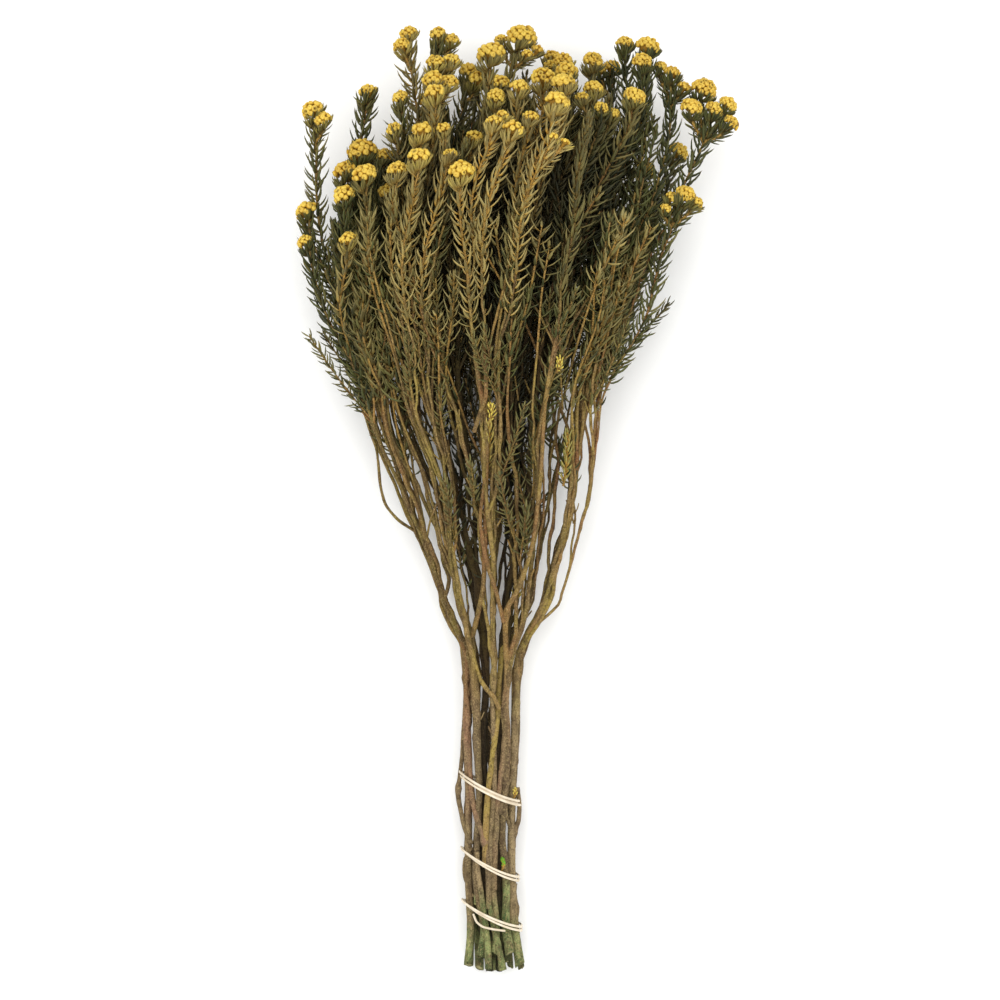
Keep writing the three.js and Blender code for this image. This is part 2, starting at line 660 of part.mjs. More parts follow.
const stems = listStems();
listTips().forEach((tip, index) => {
  const near = (stem) => Math.hypot(stem.u - tip.u, stem.v - tip.v);
  const home = stems.reduce((best, stem) => (near(stem) < near(best) ? stem : best));
  home.tips.push({ ...tip, index });
});
const trunks = stems.map((stem) => {
  const root = { along: 0, u: stem.u, v: stem.v };
  const loads = [{ above: 0, count: stem.tips.length }];
  const trunk = growBranches(stem, stem.tips, [root], { start: 0, sides: TRUNK_SIDES, loads, parent: null }, []);
  trunk.made.sort((a, b) => a.fork - b.fork);
  return trunk;
});
const withForks = (branch) => [branch, ...branch.made.flatMap((fork) => withForks(fork.branch))];
const branches = trunks.flatMap(withForks);
branches.forEach((branch) => { branch.heads = listHeads(branch, branch.tip); });
const heads = branches.flatMap((branch) => branch.heads);

// Straight stretches of every branch, by which needles keep clear of other stems and heads.
const stretches = branches.flatMap((branch) => {
  const list = [];
  const first = branch.start === 0 ? 0 : branch.start + SHOULDER_UP * 0.5;
  for (let at = first; at < branch.tip.at; at += 9) {
    const to = Math.min(at + 9, branch.tip.at);
    list.push({ branch, a: branch.line(at), b: branch.line(to), radius: woodRadius(branch, at) });
  }
  return list;
});
const needles = [];
function blocked(branch, foot, apex) {
  if (apex.z < NEEDLE_CLEAR) return true;
  const close = (p, reach) => Math.abs(p.y - apex.y) < reach && p.distanceTo(apex) < reach;
  const blade = new THREE.Line3(foot, apex);
  const byWood = stretches.some((s) => s.branch !== branch && close(s.a, 18)
    && nearest(foot, apex, s.a, s.b) < s.radius + NEEDLE_CLEAR + 0.5);
  const byNeedle = () => needles.some((n) => n.branch !== branch && close(n.apex, 15)
    && nearest(foot, apex, n.foot, n.apex) < NEEDLE_CLEAR + 0.6);
  const byHead = () => heads.some((h) => close(h.centre, 22)
    && blade.closestPointToPoint(h.centre, true, new THREE.Vector3())
      .distanceTo(h.centre) < h.wide / 2 + NEEDLE_CLEAR);
  return byWood || byNeedle() || byHead();
}

const woodMaterial = new THREE.MeshStandardMaterial({ color: 0x6e6038, roughness: 0.9, metalness: 0 });
const headMaterial = new THREE.MeshStandardMaterial({ color: 0xd9a92c, roughness: 0.85, metalness: 0 });
const bandMaterial = new THREE.MeshStandardMaterial({ color: 0xe6dcc0, roughness: 0.6, metalness: 0 });

// How far the tied stems reach from the middle of the bundle, towards an angle, on a slanted cut.
function reachOfStems(band, angle) {
  const middle = place(0, 0, band.along);
  const facing = (turn) => new THREE.Vector2(Math.cos(turn), Math.sin(turn));
  const feet = branches.filter((branch) => branch.start < band.along + 12).map((branch) => {
    let p = branch.line(band.along);
    p = branch.line(Math.max(branch.start, band.along + band.slant * (p.x - middle.x)));
    return { spot: new THREE.Vector2(p.x - middle.x, p.z - middle.z), radius: woodRadius(branch, p.y) };
  });
  let reach = Infinity;
  for (let k = -8; k <= 8; k += 1) {
    const turn = angle + (k * Math.PI) / 20;
    const wall = Math.max(...feet.map((foot) => foot.spot.dot(facing(turn)) + foot.radius));
    reach = Math.min(reach, wall / Math.cos(turn - angle));
  }
  return reach;
}

// A rubber band wound in turns: the turns lie side by side and ride over each other once.
function bandGeometry(band) {
  const middle = place(0, 0, band.along);
  const swing = BAND_SWING[band.turns - 2];
  const count = BAND_STEPS * band.turns;
  const points = [];
  const triangles = [];
  for (let k = 0; k < count; k += 1) {
    const angle = (2 * Math.PI * k) / BAND_STEPS;
    const phase = angle / band.turns;
    const reach = reachOfStems(band, angle % (2 * Math.PI)) + BAND_GAP + swing.lift * (1 + Math.sin(phase));
    for (const [wide, thick] of [[-1, 0], [-1, 1], [1, 1], [1, 0]]) {
      const out = reach + thick * BAND_THICK;
      const x = out * Math.cos(angle);
      const z = middle.z + out * Math.sin(angle);
      const y = band.along + band.slant * x + swing.side * Math.cos(phase) + (wide * BAND_WIDE) / 2;
      points.push(new THREE.Vector3(middle.x + x, y, z < BAND_FLAT ? 0 : z));
    }
  }
  for (let k = 0; k < count; k += 1) {
    for (let j = 0; j < 4; j += 1) {
      const [a, b] = [4 * k + j, 4 * k + ((j + 1) % 4)];
      const [d, c] = [(a + 4) % (4 * count), (b + 4) % (4 * count)];
      triangles.push([a, b, d], [d, b, c]);
    }
  }
  return { points, triangles };
}

const group = new THREE.Group();
function addNode(body, name, material) {
  const mesh = body.getMesh();
  const geometry = new THREE.BufferGeometry();
  const positions = new Float32Array(mesh.numVert * 3);
  for (let i = 0; i < mesh.numVert; i += 1) {
    for (let k = 0; k < 3; k += 1) positions[3 * i + k] = mesh.vertProperties[mesh.numProp * i + k];
  }
  geometry.setAttribute('position', new THREE.BufferAttribute(positions, 3));
  geometry.setIndex(new THREE.BufferAttribute(new Uint32Array(mesh.triVerts), 1));
  geometry.computeVertexNormals();
  const node = new THREE.Mesh(geometry, material);
  node.name = name;
  group.add(node);
}
const join = (bodies) => bodies.reduce((sum, body) => sum.add(body));

// Heads that touch grow together by a short neck. The largest bunches get nodes of their own,
// and the rest stay on their stem.
const meet = (a, b) => a.centre.distanceTo(b.centre) < (a.wide + b.wide) / 2 + NECK_REACH;
function clusters(list) {
  const groups = [];
  for (const head of list) {
    const near = groups.filter((group) => group.some((other) => meet(head, other)));
    near.forEach((group) => groups.splice(groups.indexOf(group), 1));
    groups.push([...near.flat(), head]);
  }
  return groups;
}
function headBody(list) {
  const bodies = list.map((head) => solid(headGeometry(head, 0)));
  list.forEach((head, k) => {
    list.slice(k + 1).filter((other) => meet(head, other)).forEach((other) => {
      const neck = { points: [], triangles: [] };
      const rings = [head, other].map(({ centre }) => ({ centre: centre.clone(), radius: NECK_RADIUS, turn: 0 }));
      setFrames(rings);
      addTube(neck, rings, 4, null, null);
      bodies.push(solid(neck));
    });
  });
  return join(bodies).simplify(HEAD_SLIVER);
}
const bunches = branches.flatMap((branch) => clusters(branch.heads))
  .map((list) => ({ list, size: list.reduce((sum, head) => sum + head.wide ** 2, 0) }))
  .sort((a, b) => b.size - a.size);
bunches.slice(0, HEAD_NODES).forEach((bunch) => bunch.list.forEach((head) => { head.ownNode = true; }));

trunks.forEach((trunk, k) => {
  const mesh = { points: [], triangles: [] };
  addBranch(mesh, trunk, null);
  const body = solid(mesh);
  addNode(body, `stem_${String(k + 1).padStart(2, '0')}`, woodMaterial);
});
bunches.slice(0, HEAD_NODES).forEach((bunch, k) => {
  const body = headBody(bunch.list);
  addNode(body, `heads_${String(k + 1).padStart(2, '0')}`, headMaterial);
});

for (const band of BANDS) {
  const body = solid(bandGeometry(band));
  addNode(body, band.name, bandMaterial);
}

// The bunch is centred over the origin and lies on z = 0.
const box = new THREE.Box3().setFromObject(group, true);
const centre = box.getCenter(new THREE.Vector3());
group.position.set(-centre.x, -centre.y, 0);

export default group;
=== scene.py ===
import bpy, json, math
import numpy as np
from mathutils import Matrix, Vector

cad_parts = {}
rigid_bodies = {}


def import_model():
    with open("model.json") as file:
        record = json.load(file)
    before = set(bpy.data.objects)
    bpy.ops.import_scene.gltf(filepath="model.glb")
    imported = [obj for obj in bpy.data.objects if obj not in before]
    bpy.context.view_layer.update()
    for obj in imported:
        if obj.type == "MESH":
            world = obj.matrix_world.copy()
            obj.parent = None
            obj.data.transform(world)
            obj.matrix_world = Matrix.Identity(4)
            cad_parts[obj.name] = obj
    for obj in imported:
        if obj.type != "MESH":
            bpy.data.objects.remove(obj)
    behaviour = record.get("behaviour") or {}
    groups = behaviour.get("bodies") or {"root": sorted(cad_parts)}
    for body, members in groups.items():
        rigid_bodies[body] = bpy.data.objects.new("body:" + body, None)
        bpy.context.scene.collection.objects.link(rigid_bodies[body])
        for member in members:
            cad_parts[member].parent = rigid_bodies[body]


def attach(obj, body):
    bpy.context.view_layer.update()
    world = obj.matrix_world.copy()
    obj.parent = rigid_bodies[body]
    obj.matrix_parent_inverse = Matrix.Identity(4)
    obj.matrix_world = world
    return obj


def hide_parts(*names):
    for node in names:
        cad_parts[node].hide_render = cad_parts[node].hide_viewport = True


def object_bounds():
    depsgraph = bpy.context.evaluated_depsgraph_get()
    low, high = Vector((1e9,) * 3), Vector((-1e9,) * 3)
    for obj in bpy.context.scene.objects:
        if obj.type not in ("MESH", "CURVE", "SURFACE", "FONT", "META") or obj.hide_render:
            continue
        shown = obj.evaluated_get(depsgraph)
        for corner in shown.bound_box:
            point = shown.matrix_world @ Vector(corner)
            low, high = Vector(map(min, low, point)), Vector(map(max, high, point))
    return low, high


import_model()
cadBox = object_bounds()

# Dried phylica: a tied bunch of forking woody shoots with needle leaves and heads of yellow florets.
# The layout is in millimetres along the bunch, as in the solid model, and is moved to the frame at the end.
shift = np.array([11.6215, 250.0147, 0.0])  # the middle of the bunch in the layout
boxLow, boxHigh = np.array(cadBox[0]) * 1000, np.array(cadBox[1]) * 1000

# place along the bunch, half width, half depth, middle across, middle above the ground
bundleRows = np.array([
    (0, 12.2, 10.6, 0, 16.05), (60, 11.6, 10.4, -2.4, 15.6), (120, 13.2, 11.6, -2, 17.3),
    (165, 15.6, 13.6, -1, 20), (200, 31, 19, -0.8, 25), (250, 48, 29, -2, 34),
    (300, 63, 37, -6.5, 43), (355, 83, 45, -3.4, 51), (410, 98, 51, 3.4, 56),
    (455, 106, 52, 14, 58), (510, 106, 51, 17, 58),
], float)

stemRings = {"inner": 4, "innerReach": 0.43, "outer": 10, "radius": 2.95, "taper": 0.0055, "cutUneven": 11}
forking = {"twig": 1.0, "power": 0.42, "shoulder": 13, "clear": 0.9, "from": 115, "step": 14,
           "leastShoot": 52}
headShape = {"squash": 0.84, "top": 1.1, "valley": 0.86, "neck": 0.6, "gap": 0.35, "nodes": 43}

# shoot tips seen from above: across, along, layer (0 middle, 1 upper face), head width (0 is a leafy tip),
# then the heads that share the tip: shift across, along, up, width
shoots = [
    (-44, 495, 0.05, 9, [(-3.5, -6.5, 5.5, 8.5)]), (-30, 495, 0, 8.5, [(7, -3, -2, 8)]),
    (-30, 479, 0.2, 9.5, [(8, 1, -2, 9)]), (-31, 470, 0.36, 10.5, [(8.5, -1.5, -1, 9.5)]),
    (-28.5, 462, 0.55, 11), (-15, 476, -0.12, 10, [(5.5, -5, 5, 10.5)]), (-0.5, 484, 0.12, 14),
    (15, 494, 0, 15, [(-11, -2, -3, 7), (8, -8, 4, 6.5), (3, -10, 7, 6)]),
    (28.5, 484, -0.28, 8, [(-1, -5, 5.5, 6.5)]), (36.5, 481, 0.06, 9), (38, 475, 0.22, 11),
    (50, 481, -0.05, 10.5), (61, 479, -0.5, 8.5, [(-6.5, -2, 3, 7)]), (35.5, 467, 0.62, 12),
    (24, 471, 0.38, 12), (14, 465, 0.55, 10), (3.5, 461, 0.42, 9), (4.5, 469, 0.16, 9),
    (49.5, 465, 0.32, 10.5, [(-6, -4.5, 5, 6.5)]), (54, 455, 0.5, 7), (33, 456, 0.8, 13.5),
    (-0.5, 446, 0.8, 9, [(4, 3.5, -3, 7)]), (9.5, 442, 0.9, 11), (19.5, 449, 0.74, 8),
    (-11.5, 439, 0.55, 9), (-26, 444, 0.62, 7), (-37.5, 442, 0.66, 11.5), (-53, 444, 0.5, 7.5),
    (-40.5, 428, 0.88, 12), (-23, 430, 0.78, 7.5), (-51.5, 422, 0.82, 10), (-16.5, 420, 0.92, 14),
    (-47.5, 461, 0.3, 8), (30, 438, 0.95, 5, [(6, -2.5, 1, 5)]), (50.5, 449, 0.75, 0),
    (60, 452, 0.4, 7), (70.5, 461, 0.45, 11), (69.5, 490, 0, 9), (80, 488, 0.02, 12.5),
    (77.5, 480, 0.24, 10), (94, 474, 0, 9, [(-6, 4, -2, 6.5), (6, -7, 1, 7)]),
    (115, 455, 0.15, 10, [(-5, 11, -3, 13), (-11.5, 1, 5, 11), (7.5, 3, -3, 9.5), (10.5, -7, 1, 9)]),
    (98.5, 410, 0.75, 11, [(-7, -1, -2, 6.5), (6, -4, 2, 6.5), (-10.5, -7, 2, 5.5)]),
    (-93, 455, 0, 11.5, [(5.5, -5, 4, 9)]), (-65, 465, -0.22, 9.5), (-70.5, 433, 0.05, 15),
    (-79.5, 423, 0.12, 12), (-67.5, 420, 0.6, 12.5), (-58.5, 431, 0.1, 8.5), (-80.5, 410, 0.6, 11),
    (-57, 412, 0.36, 9), (-98.5, 402, -0.05, 12), (-101.5, 386, 0.5, 8), (-79, 386, 0.98, 9.5),
    (-69, 360, 0.85, 0), (-71.5, 340, 0.82, 0), (32.5, 324, 0.6, 6), (-2, 297, 0.6, 0), (38, 281, 0.55, 0),
]
# rows of tips that fill the side facing the ground: layer, count, from, to, along, fall, head width
underRows = [(-0.42, 6, -0.8, 0.86, 462, 34, 10.5), (-0.74, 5, -0.7, 0.74, 446, 26, 10),
             (-0.97, 4, -0.42, 0.44, 426, 18, 11)]
restLayer = -0.9


# The same steady stand-in for chance as in the solid model: the fraction of a large sine.
def chance(index, salt):
    wave = math.sin(index * 127.1 + salt * 311.7) * 43758.5453
    return wave - math.floor(wave)


# Eases from 0 to 1: 3 t^2 - 2 t^3, flat outside.
def smooth(t):
    s = np.clip(t, 0, 1)
    return s * s * (3 - 2 * s)


# The share t of the way from a to b.
def mix(a, b, t):
    return a + (b - a) * t


# Vectors divided by their own length.
def unit(v):
    return v / np.maximum(np.linalg.norm(v, axis=-1, keepdims=True), 1e-9)


goldenAngle = 2.39996  # the turn from one needle or floret to the next, in radians
flat = np.eye(3)[[0, 2]]  # across the bunch and up from the floor


# Equal steps of a full turn.
def roundAngles(sides):
    return 2 * np.pi * np.arange(sides) / sides


# Directions round an axis: cos a * side + sin a * over.
def around(angle, side, over):
    return np.cos(angle)[..., None] * side + np.sin(angle)[..., None] * over


# Two directions square to an axis and to each other.
def squareTo(axis, hint):
    side = unit(np.cross(axis, np.array(hint)))
    return side, np.cross(axis, side)


# How far along a line of points each of them lies.
def runOf(points):
    return np.concatenate([[0], np.cumsum(np.linalg.norm(np.diff(points, axis=0), axis=1))])


# Points at given distances down a line of points.
def downFrom(points, distance):
    run = runOf(points)
    return np.stack([np.interp(distance, run, points[:, k]) for k in range(3)], 1)


# Whether points lie in the box, with some room to spare.
def inBox(points, room=0.5):
    local = points - shift
    return ((local > boxLow + room) & (local < boxHigh - room)).all(-1)


# Cubic through rows keyed by their first column; the slope at a row is 0.75 of the slope between its
# neighbours.
def follow(rows, at):
    at = np.atleast_1d(np.asarray(at, float))
    key, last = rows[:, 0], len(rows) - 1
    i = np.clip(np.searchsorted(key, at) - 1, 0, last - 1)
    before, after = np.maximum(np.arange(last + 1) - 1, 0), np.minimum(np.arange(last + 1) + 1, last)
    slopes = 0.75 * (rows[after, 1:] - rows[before, 1:]) / (key[after] - key[before])[:, None]
    span = (key[i + 1] - key[i])[:, None]
    t = np.clip((at[:, None] - key[i][:, None]) / span, -0.2, 1.2)
    return ((2 * t**3 - 3 * t**2 + 1) * rows[i, 1:] + (t**3 - 2 * t**2 + t) * span * slopes[i]
            + (3 * t**2 - 2 * t**3) * rows[i + 1, 1:] + (t**3 - t**2) * span * slopes[i + 1])


# Half width, half depth and middle, across and up, at one place along the bunch.
def bundle(at):
    return follow(bundleRows, at)[0]


# From a share of the half width and half depth to a point in space.
def place(u, v, at):
    width, depth, x, z = bundle(at)
    return np.array([x + width * u, at, z + depth * v])


# How much painted shade points get for lying deep in the bunch: 1 near its middle line, 0 from 0.9 of its
# half width and half depth outwards, less over the last stretch towards the crown; on the lower side at least
# the given share, as painted shade from the layers above.
def paintedShadeAt(points, lower=0.0):
    b = follow(bundleRows, points[:, 1])
    reach = np.hypot((points[:, 0] - b[:, 2]) / b[:, 0], (points[:, 2] - b[:, 3]) / b[:, 1])
    deep = (1 - smooth((reach - 0.45) / 0.45)) * (1 - 0.8 * smooth((points[:, 1] - 410) / 50))
    below = lower * smooth((0.15 - (points[:, 2] - b[:, 3]) / b[:, 1]) / 0.6)
    return np.maximum(deep, below)


# All shoot tips, as shares of the half width and half depth: those seen from above, then the rows below.
def listTips():
    tips = []
    for row in shoots:
        x, at, layer, head = row[:4]
        width, _, midX, _ = bundle(at)
        u = (x - midX) / width
        v = layer * math.sqrt(max(0.05, 1 - u * u))
        tips.append({"u": u, "v": v, "at": at, "head": head, "more": row[4] if len(row) > 4 else []})
    for layer, count, start, end, atMiddle, fall, width in underRows:
        for k in range(count):
            n = len(tips)
            u = mix(start, end, k / (count - 1)) + 0.06 * (chance(n, 1) - 0.5)
            at = atMiddle - fall * u * u + 22 * (chance(n, 2) - 0.5)
            rests = layer < restLayer and k in (0, count - 1)
            head = width + 2.5 * (chance(n, 3) - 0.5)
            _, depth, _, midZ = bundle(at)
            v = (0.45 * head - midZ) / depth if rests else layer * math.sqrt(1 - u * u)
            tips.append({"u": u, "v": v, "at": at, "head": head, "more": []})
    for index, tip in enumerate(tips):
        tip["index"] = index
    return tips


# An inner and an outer ring of stems where the bunch is bound.
def listStems():
    stems = []
    for count, reach in ((stemRings["inner"], stemRings["innerReach"]), (stemRings["outer"], 1)):
        for k in range(count):
            angle = (k + 0.5) * 2 * math.pi / count
            stems.append({"u": reach * math.cos(angle), "v": reach * math.sin(angle), "tips": []})
    for index, stem in enumerate(stems):
        stem["index"] = index
    return stems


# A branch's line: its forks as places in the bundle, plus slow waves of the stem and of the branch itself,
# plus the step to its parent's line, which fades out over 40 mm.
def makeLine(stem, forks, parent, seed):
    rows = np.array(forks, float)
    start = rows[0, 0]

    def raw(at):
        share, b, free = follow(rows, at), follow(bundleRows, at), smooth((at - 110) / 90)
        x = b[:, 2] + b[:, 0] * share[:, 0]
        z = b[:, 3] + b[:, 1] * share[:, 1]
        x += free * (1.5 * np.sin(at / 31 + stem * 1.7) + 0.8 * np.sin(at / 11.5 + stem * 2.3))
        z += free * (1.3 * np.sin(at / 27 + stem * 2.9) + 0.7 * np.sin(at / 13 + stem * 4.1))
        return np.stack([x, at, z], 1)

    first = np.array([start])
    step = parent(first)[0] - raw(first)[0] if parent else np.zeros(3)

    def line(at):
        at = np.atleast_1d(np.asarray(at, float))
        grown = 0.9 * smooth((at - max(start, 120)) / 45)
        waves = [grown * np.sin(at / 17 + seed * 2.1), 0 * at, grown * np.sin(at / 19 + seed * 3.7)]
        own = np.stack(waves, 1)
        return raw(at) + own + step * (1 - smooth((at - start) / 40))[:, None]

    return line


# The radius of wood that carries so many shoots: twig radius * count^power.
def thickness(count):
    return forking["twig"] * np.power(count, forking["power"])


# Radius at each height: the thickness for the shoots carried there, and at least the stem's tapering foot.
def woodRadius(branch, at):
    at = np.atleast_1d(np.asarray(at, float))
    count = np.full(len(at), float(branch["loads"][0][1]))
    for above, carried in branch["loads"]:
        count = np.where(at > above, carried, count)
    foot = stemRings["radius"] - at * stemRings["taper"] if branch["start"] == 0 else 0 * at
    return np.maximum(thickness(count), foot)


# Splits the tips of a stem in two again and again; each split is a fork on the way up.
def growBranches(stem, members, path, trunk, made):
    last = path[-1]
    if len(members) == 1:
        tip = members[0]
        way = path + [(tip["at"], tip["u"], tip["v"])]
        line = makeLine(stem["index"], way, trunk["parent"], tip["index"])
        return {**trunk, "stem": stem, "tip": tip, "line": line, "made": made}
    mean = lambda tips, key: sum(t[key] for t in tips) / len(tips)
    spread = lambda key: max(t[key] for t in members) - min(t[key] for t in members)
    lowest = min(t["at"] for t in members)
    key = "u" if spread("u") * 1.8 > spread("v") else "v"
    ordered = sorted(members, key=lambda t: t[key])
    half = math.ceil(len(ordered) / 2)
    keep, leave = ordered[:half], ordered[half:]
    reach = mix(0.3, 0.46, chance(stem["index"] * 7 + len(members), 5))
    start = max(last[0], forking["from"])
    fork = max(last[0] + forking["step"], min(lowest - forking["leastShoot"], mix(start, lowest, reach)))
    pull = max(0, (fork - 90) / (mean(members, "at") - 90)) ** 1.25
    root = path[0] if path[0][0] == 0 else last
    spot = (fork, mix(mix(stem["u"], root[1], 0.5), mean(members, "u"), pull),
            mix(mix(stem["v"], root[2], 0.5), mean(members, "v"), pull))
    toward = (mean(leave, "u") - mean(keep, "u"), mean(leave, "v") - mean(keep, "v"))
    far = math.hypot(toward[0] * bundle(fork)[0], toward[1] * bundle(fork)[1])
    out = woodRadius(trunk, fork)[0] + thickness(len(leave)) + forking["clear"]
    shoulder = (fork + forking["shoulder"], spot[1] + toward[0] * out / far, spot[2] + toward[1] * out / far)
    carried = {**trunk, "loads": trunk["loads"] + [(fork, half)]}
    branch = growBranches(stem, keep, path + [spot], carried, made)
    child = growBranches(stem, leave, [spot, shoulder],
                         {"start": fork, "loads": [(0, len(leave))], "parent": branch["line"]}, [])
    child["made"].sort(key=lambda other: other["start"])
    made.append(child)
    return branch


# A branch and everything that forks from it.
def withForks(branch):
    return [branch] + [b for child in branch["made"] for b in withForks(child)]


# The head at a shoot's tip and those on side branches just below it.
def listHeads(branch):
    tip = branch["tip"]
    if not tip["head"]:
        return []
    end = branch["line"](tip["at"])[0]
    forward = unit(end - branch["line"](tip["at"] - 12)[0])
    facing = unit(forward + np.array([tip["u"] * 0.45, 0, tip["v"] * 0.45]))
    common = {"branch": branch, "own": False, "forward": forward}
    heads = [{"centre": end, "facing": facing, "wide": tip["head"], **common}]
    for x, y, z, wide in tip["more"]:
        lean = unit(facing + 0.035 * np.array([x, 0, z]))
        heads.append({"centre": end + np.array([x, y, z]), "facing": lean, "wide": wide, **common})
    return heads


# Heads that touch, in one bunch.
def clusters(heads):
    groups = []
    for head in heads:
        meets = lambda other: (np.linalg.norm(head["centre"] - other["centre"])
                               < (head["wide"] + other["wide"]) / 2 + headShape["neck"])
        near = [g for g in groups if any(meets(other) for other in g)]
        groups = [g for g in groups if not any(g is n for n in near)]
        groups.append([other for g in near for other in g] + [head])
    return groups


# Where a shoot meets its head.
def headFoot(head):
    reach = head["wide"] / 2 / headShape["top"] * headShape["valley"] * headShape["squash"]
    return head["centre"] - head["facing"] * (reach * (0.9 if head["own"] else 1) + headShape["gap"] + 0.2)


stems = listStems()
for tip in listTips():
    home = min(stems, key=lambda stem: math.hypot(stem["u"] - tip["u"], stem["v"] - tip["v"]))
    home["tips"].append(tip)
trunks = []
for stem in stems:
    root = {"start": 0, "loads": [(0, len(stem["tips"]))], "parent": None}
    trunk = growBranches(stem, stem["tips"], [(0, stem["u"], stem["v"])], root, [])
    trunk["made"].sort(key=lambda other: other["start"])
    trunks.append(trunk)
branches = [b for trunk in trunks for b in withForks(trunk)]
for branch in branches:
    branch["heads"] = listHeads(branch)
heads = [head for branch in branches for head in branch["heads"]]
bunches = [group for branch in branches for group in clusters(branch["heads"])]
bunches.sort(key=lambda group: -sum(head["wide"] ** 2 for head in group))
for group in bunches[:headShape["nodes"]]:
    for head in group:
        head["own"] = True
headCentres = np.array([head["centre"] for head in heads])
headReach = np.array([head["wide"] / 2 for head in heads])
print("layout:", len(trunks), "stems,", len(branches), "branches,", len(heads), "heads,", len(bunches),
      "bunches")


faceCount = []  # triangles of each piece


# A part is points, four-sided faces, three-sided faces and named values at the points.
def part(verts, quads, tris, **values):
    full = {name: np.broadcast_to(value, len(verts)) for name, value in values.items()}
    return {"verts": verts, "quads": quads.reshape(-1, 4), "tris": tris.reshape(-1, 3), "values": full}


# Joins parts into one mesh object at the origin, in metres in the frame, and makes it ride on the root.
def layPiece(name, parts, material, nodes=()):
    names = sorted({key for p in parts for key in p["values"]})
    sizes = np.array([len(p["verts"]) for p in parts])
    starts = np.concatenate([[0], np.cumsum(sizes)[:-1]])
    verts = np.concatenate([p["verts"] for p in parts]) - shift
    verts = np.clip(verts, boxLow + 0.01, boxHigh - 0.01) / 1000
    quads = np.concatenate([p["quads"] + s for p, s in zip(parts, starts)])
    tris = np.concatenate([p["tris"] + s for p, s in zip(parts, starts)])
    mesh = bpy.data.meshes.new(name)
    corners = np.concatenate([quads.ravel(), tris.ravel()]).astype(np.int32)
    firsts = np.concatenate([np.arange(len(quads)) * 4, len(quads) * 4 + np.arange(len(tris)) * 3])
    mesh.vertices.add(len(verts))
    mesh.vertices.foreach_set("co", verts.astype(np.float32).ravel())
    mesh.loops.add(len(corners))
    mesh.loops.foreach_set("vertex_index", corners)
    mesh.polygons.add(len(firsts))
    mesh.polygons.foreach_set("loop_start", firsts.astype(np.int32))
    mesh.polygons.foreach_set("use_smooth", np.ones(len(firsts), bool))
    for key in names:
        data = np.concatenate([p["values"].get(key, np.zeros(len(p["verts"]))) for p in parts])
        mesh.attributes.new(key, "FLOAT", "POINT").data.foreach_set("value", data.astype(np.float32))
    mesh.update(calc_edges=True)
    mesh.validate()
    mesh.materials.append(material)
    piece = bpy.data.objects.new(name, mesh)
    bpy.context.scene.collection.objects.link(piece)
    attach(piece, "root")
    if nodes:
        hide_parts(*nodes)
    faceCount.append(2 * len(quads) + len(tris))


# Sum of six waves in seeded directions, from about -1 to 1; size is the length of a wave in mm.
def grain(points, size, seed):
    rng = np.random.default_rng(seed)
    ways = rng.normal(size=(6, 3)) * 1.6 / size
    return np.sin(points @ ways.T + rng.uniform(0, 6.28, 6)).sum(-1) / 3.2


# Directions along, to the side of and over a path at each of its points.
def pathFrames(centres):
    forward = unit(np.gradient(centres, axis=0))
    steep = np.abs(unit(centres[-1] - centres[0]))
    level = (0.0, 0.0, 1.0) if steep[2] < 0.8 else (1.0, 0.0, 0.0)
    return (forward, *squareTo(forward, level))


# Four-sided faces between neighbouring rings of points.
def ringQuads(rings, sides):
    j, k = np.arange(sides), sides * np.arange(rings - 1)[:, None]
    after = (j + 1) % sides
    return np.stack([k + j, k + after, k + sides + after, k + sides + j], -1).reshape(-1, 4)


# Three-sided faces from the end rings to the two poles, which stand after the rings in the list of points.
def ringCaps(rings, sides):
    j, pole = np.arange(sides), np.full(sides, rings * sides)
    after, top = (j + 1) % sides, (rings - 1) * sides
    return np.concatenate([np.stack([pole, after, j], -1), np.stack([pole + 1, top + j, top + after], -1)])


# A tube: at each point of the path a ring, centre + radius * (cos a * side + sin a * over), with closed ends.
def tube(centres, radii, sides, values, endBulge=0.3):
    forward, side, over = pathFrames(centres)
    radii = radii if radii.ndim == 2 else np.repeat(radii[:, None], sides, 1)
    facing = around(roundAngles(sides)[None], side[:, None], over[:, None])
    rings = centres[:, None] + radii[:, :, None] * facing
    n = len(centres)
    poles = np.stack([centres[0] - forward[0] * radii[0].mean() * endBulge,
                      centres[-1] + forward[-1] * radii[-1].mean() * endBulge])
    full = {}
    for key, value in values.items():
        value = np.asarray(value, float)
        value = np.broadcast_to(value if value.ndim == 2 else value.reshape(-1, 1), (n, sides))
        full[key] = np.append(value, [value[0].mean(), value[-1].mean()])
    verts = np.concatenate([rings.reshape(-1, 3), poles])
    return part(verts, ringQuads(n, sides), ringCaps(n, sides), **full)


# Needles: each follows a curve through foot, middle pull and tip, with a three-cornered section: two thin
# margins and a keel towards its outer face. Those deep in the bunch have fewer rings.
needleShape = {"shares": (0, 0.22, 0.52, 0.8), "fullness": (0.6, 1, 0.95, 0.62), "keel": 1.15}
innerNeedle = {"shares": (0, 0.3, 0.7), "fullness": (0.6, 1, 0.8), "keel": 1.0}


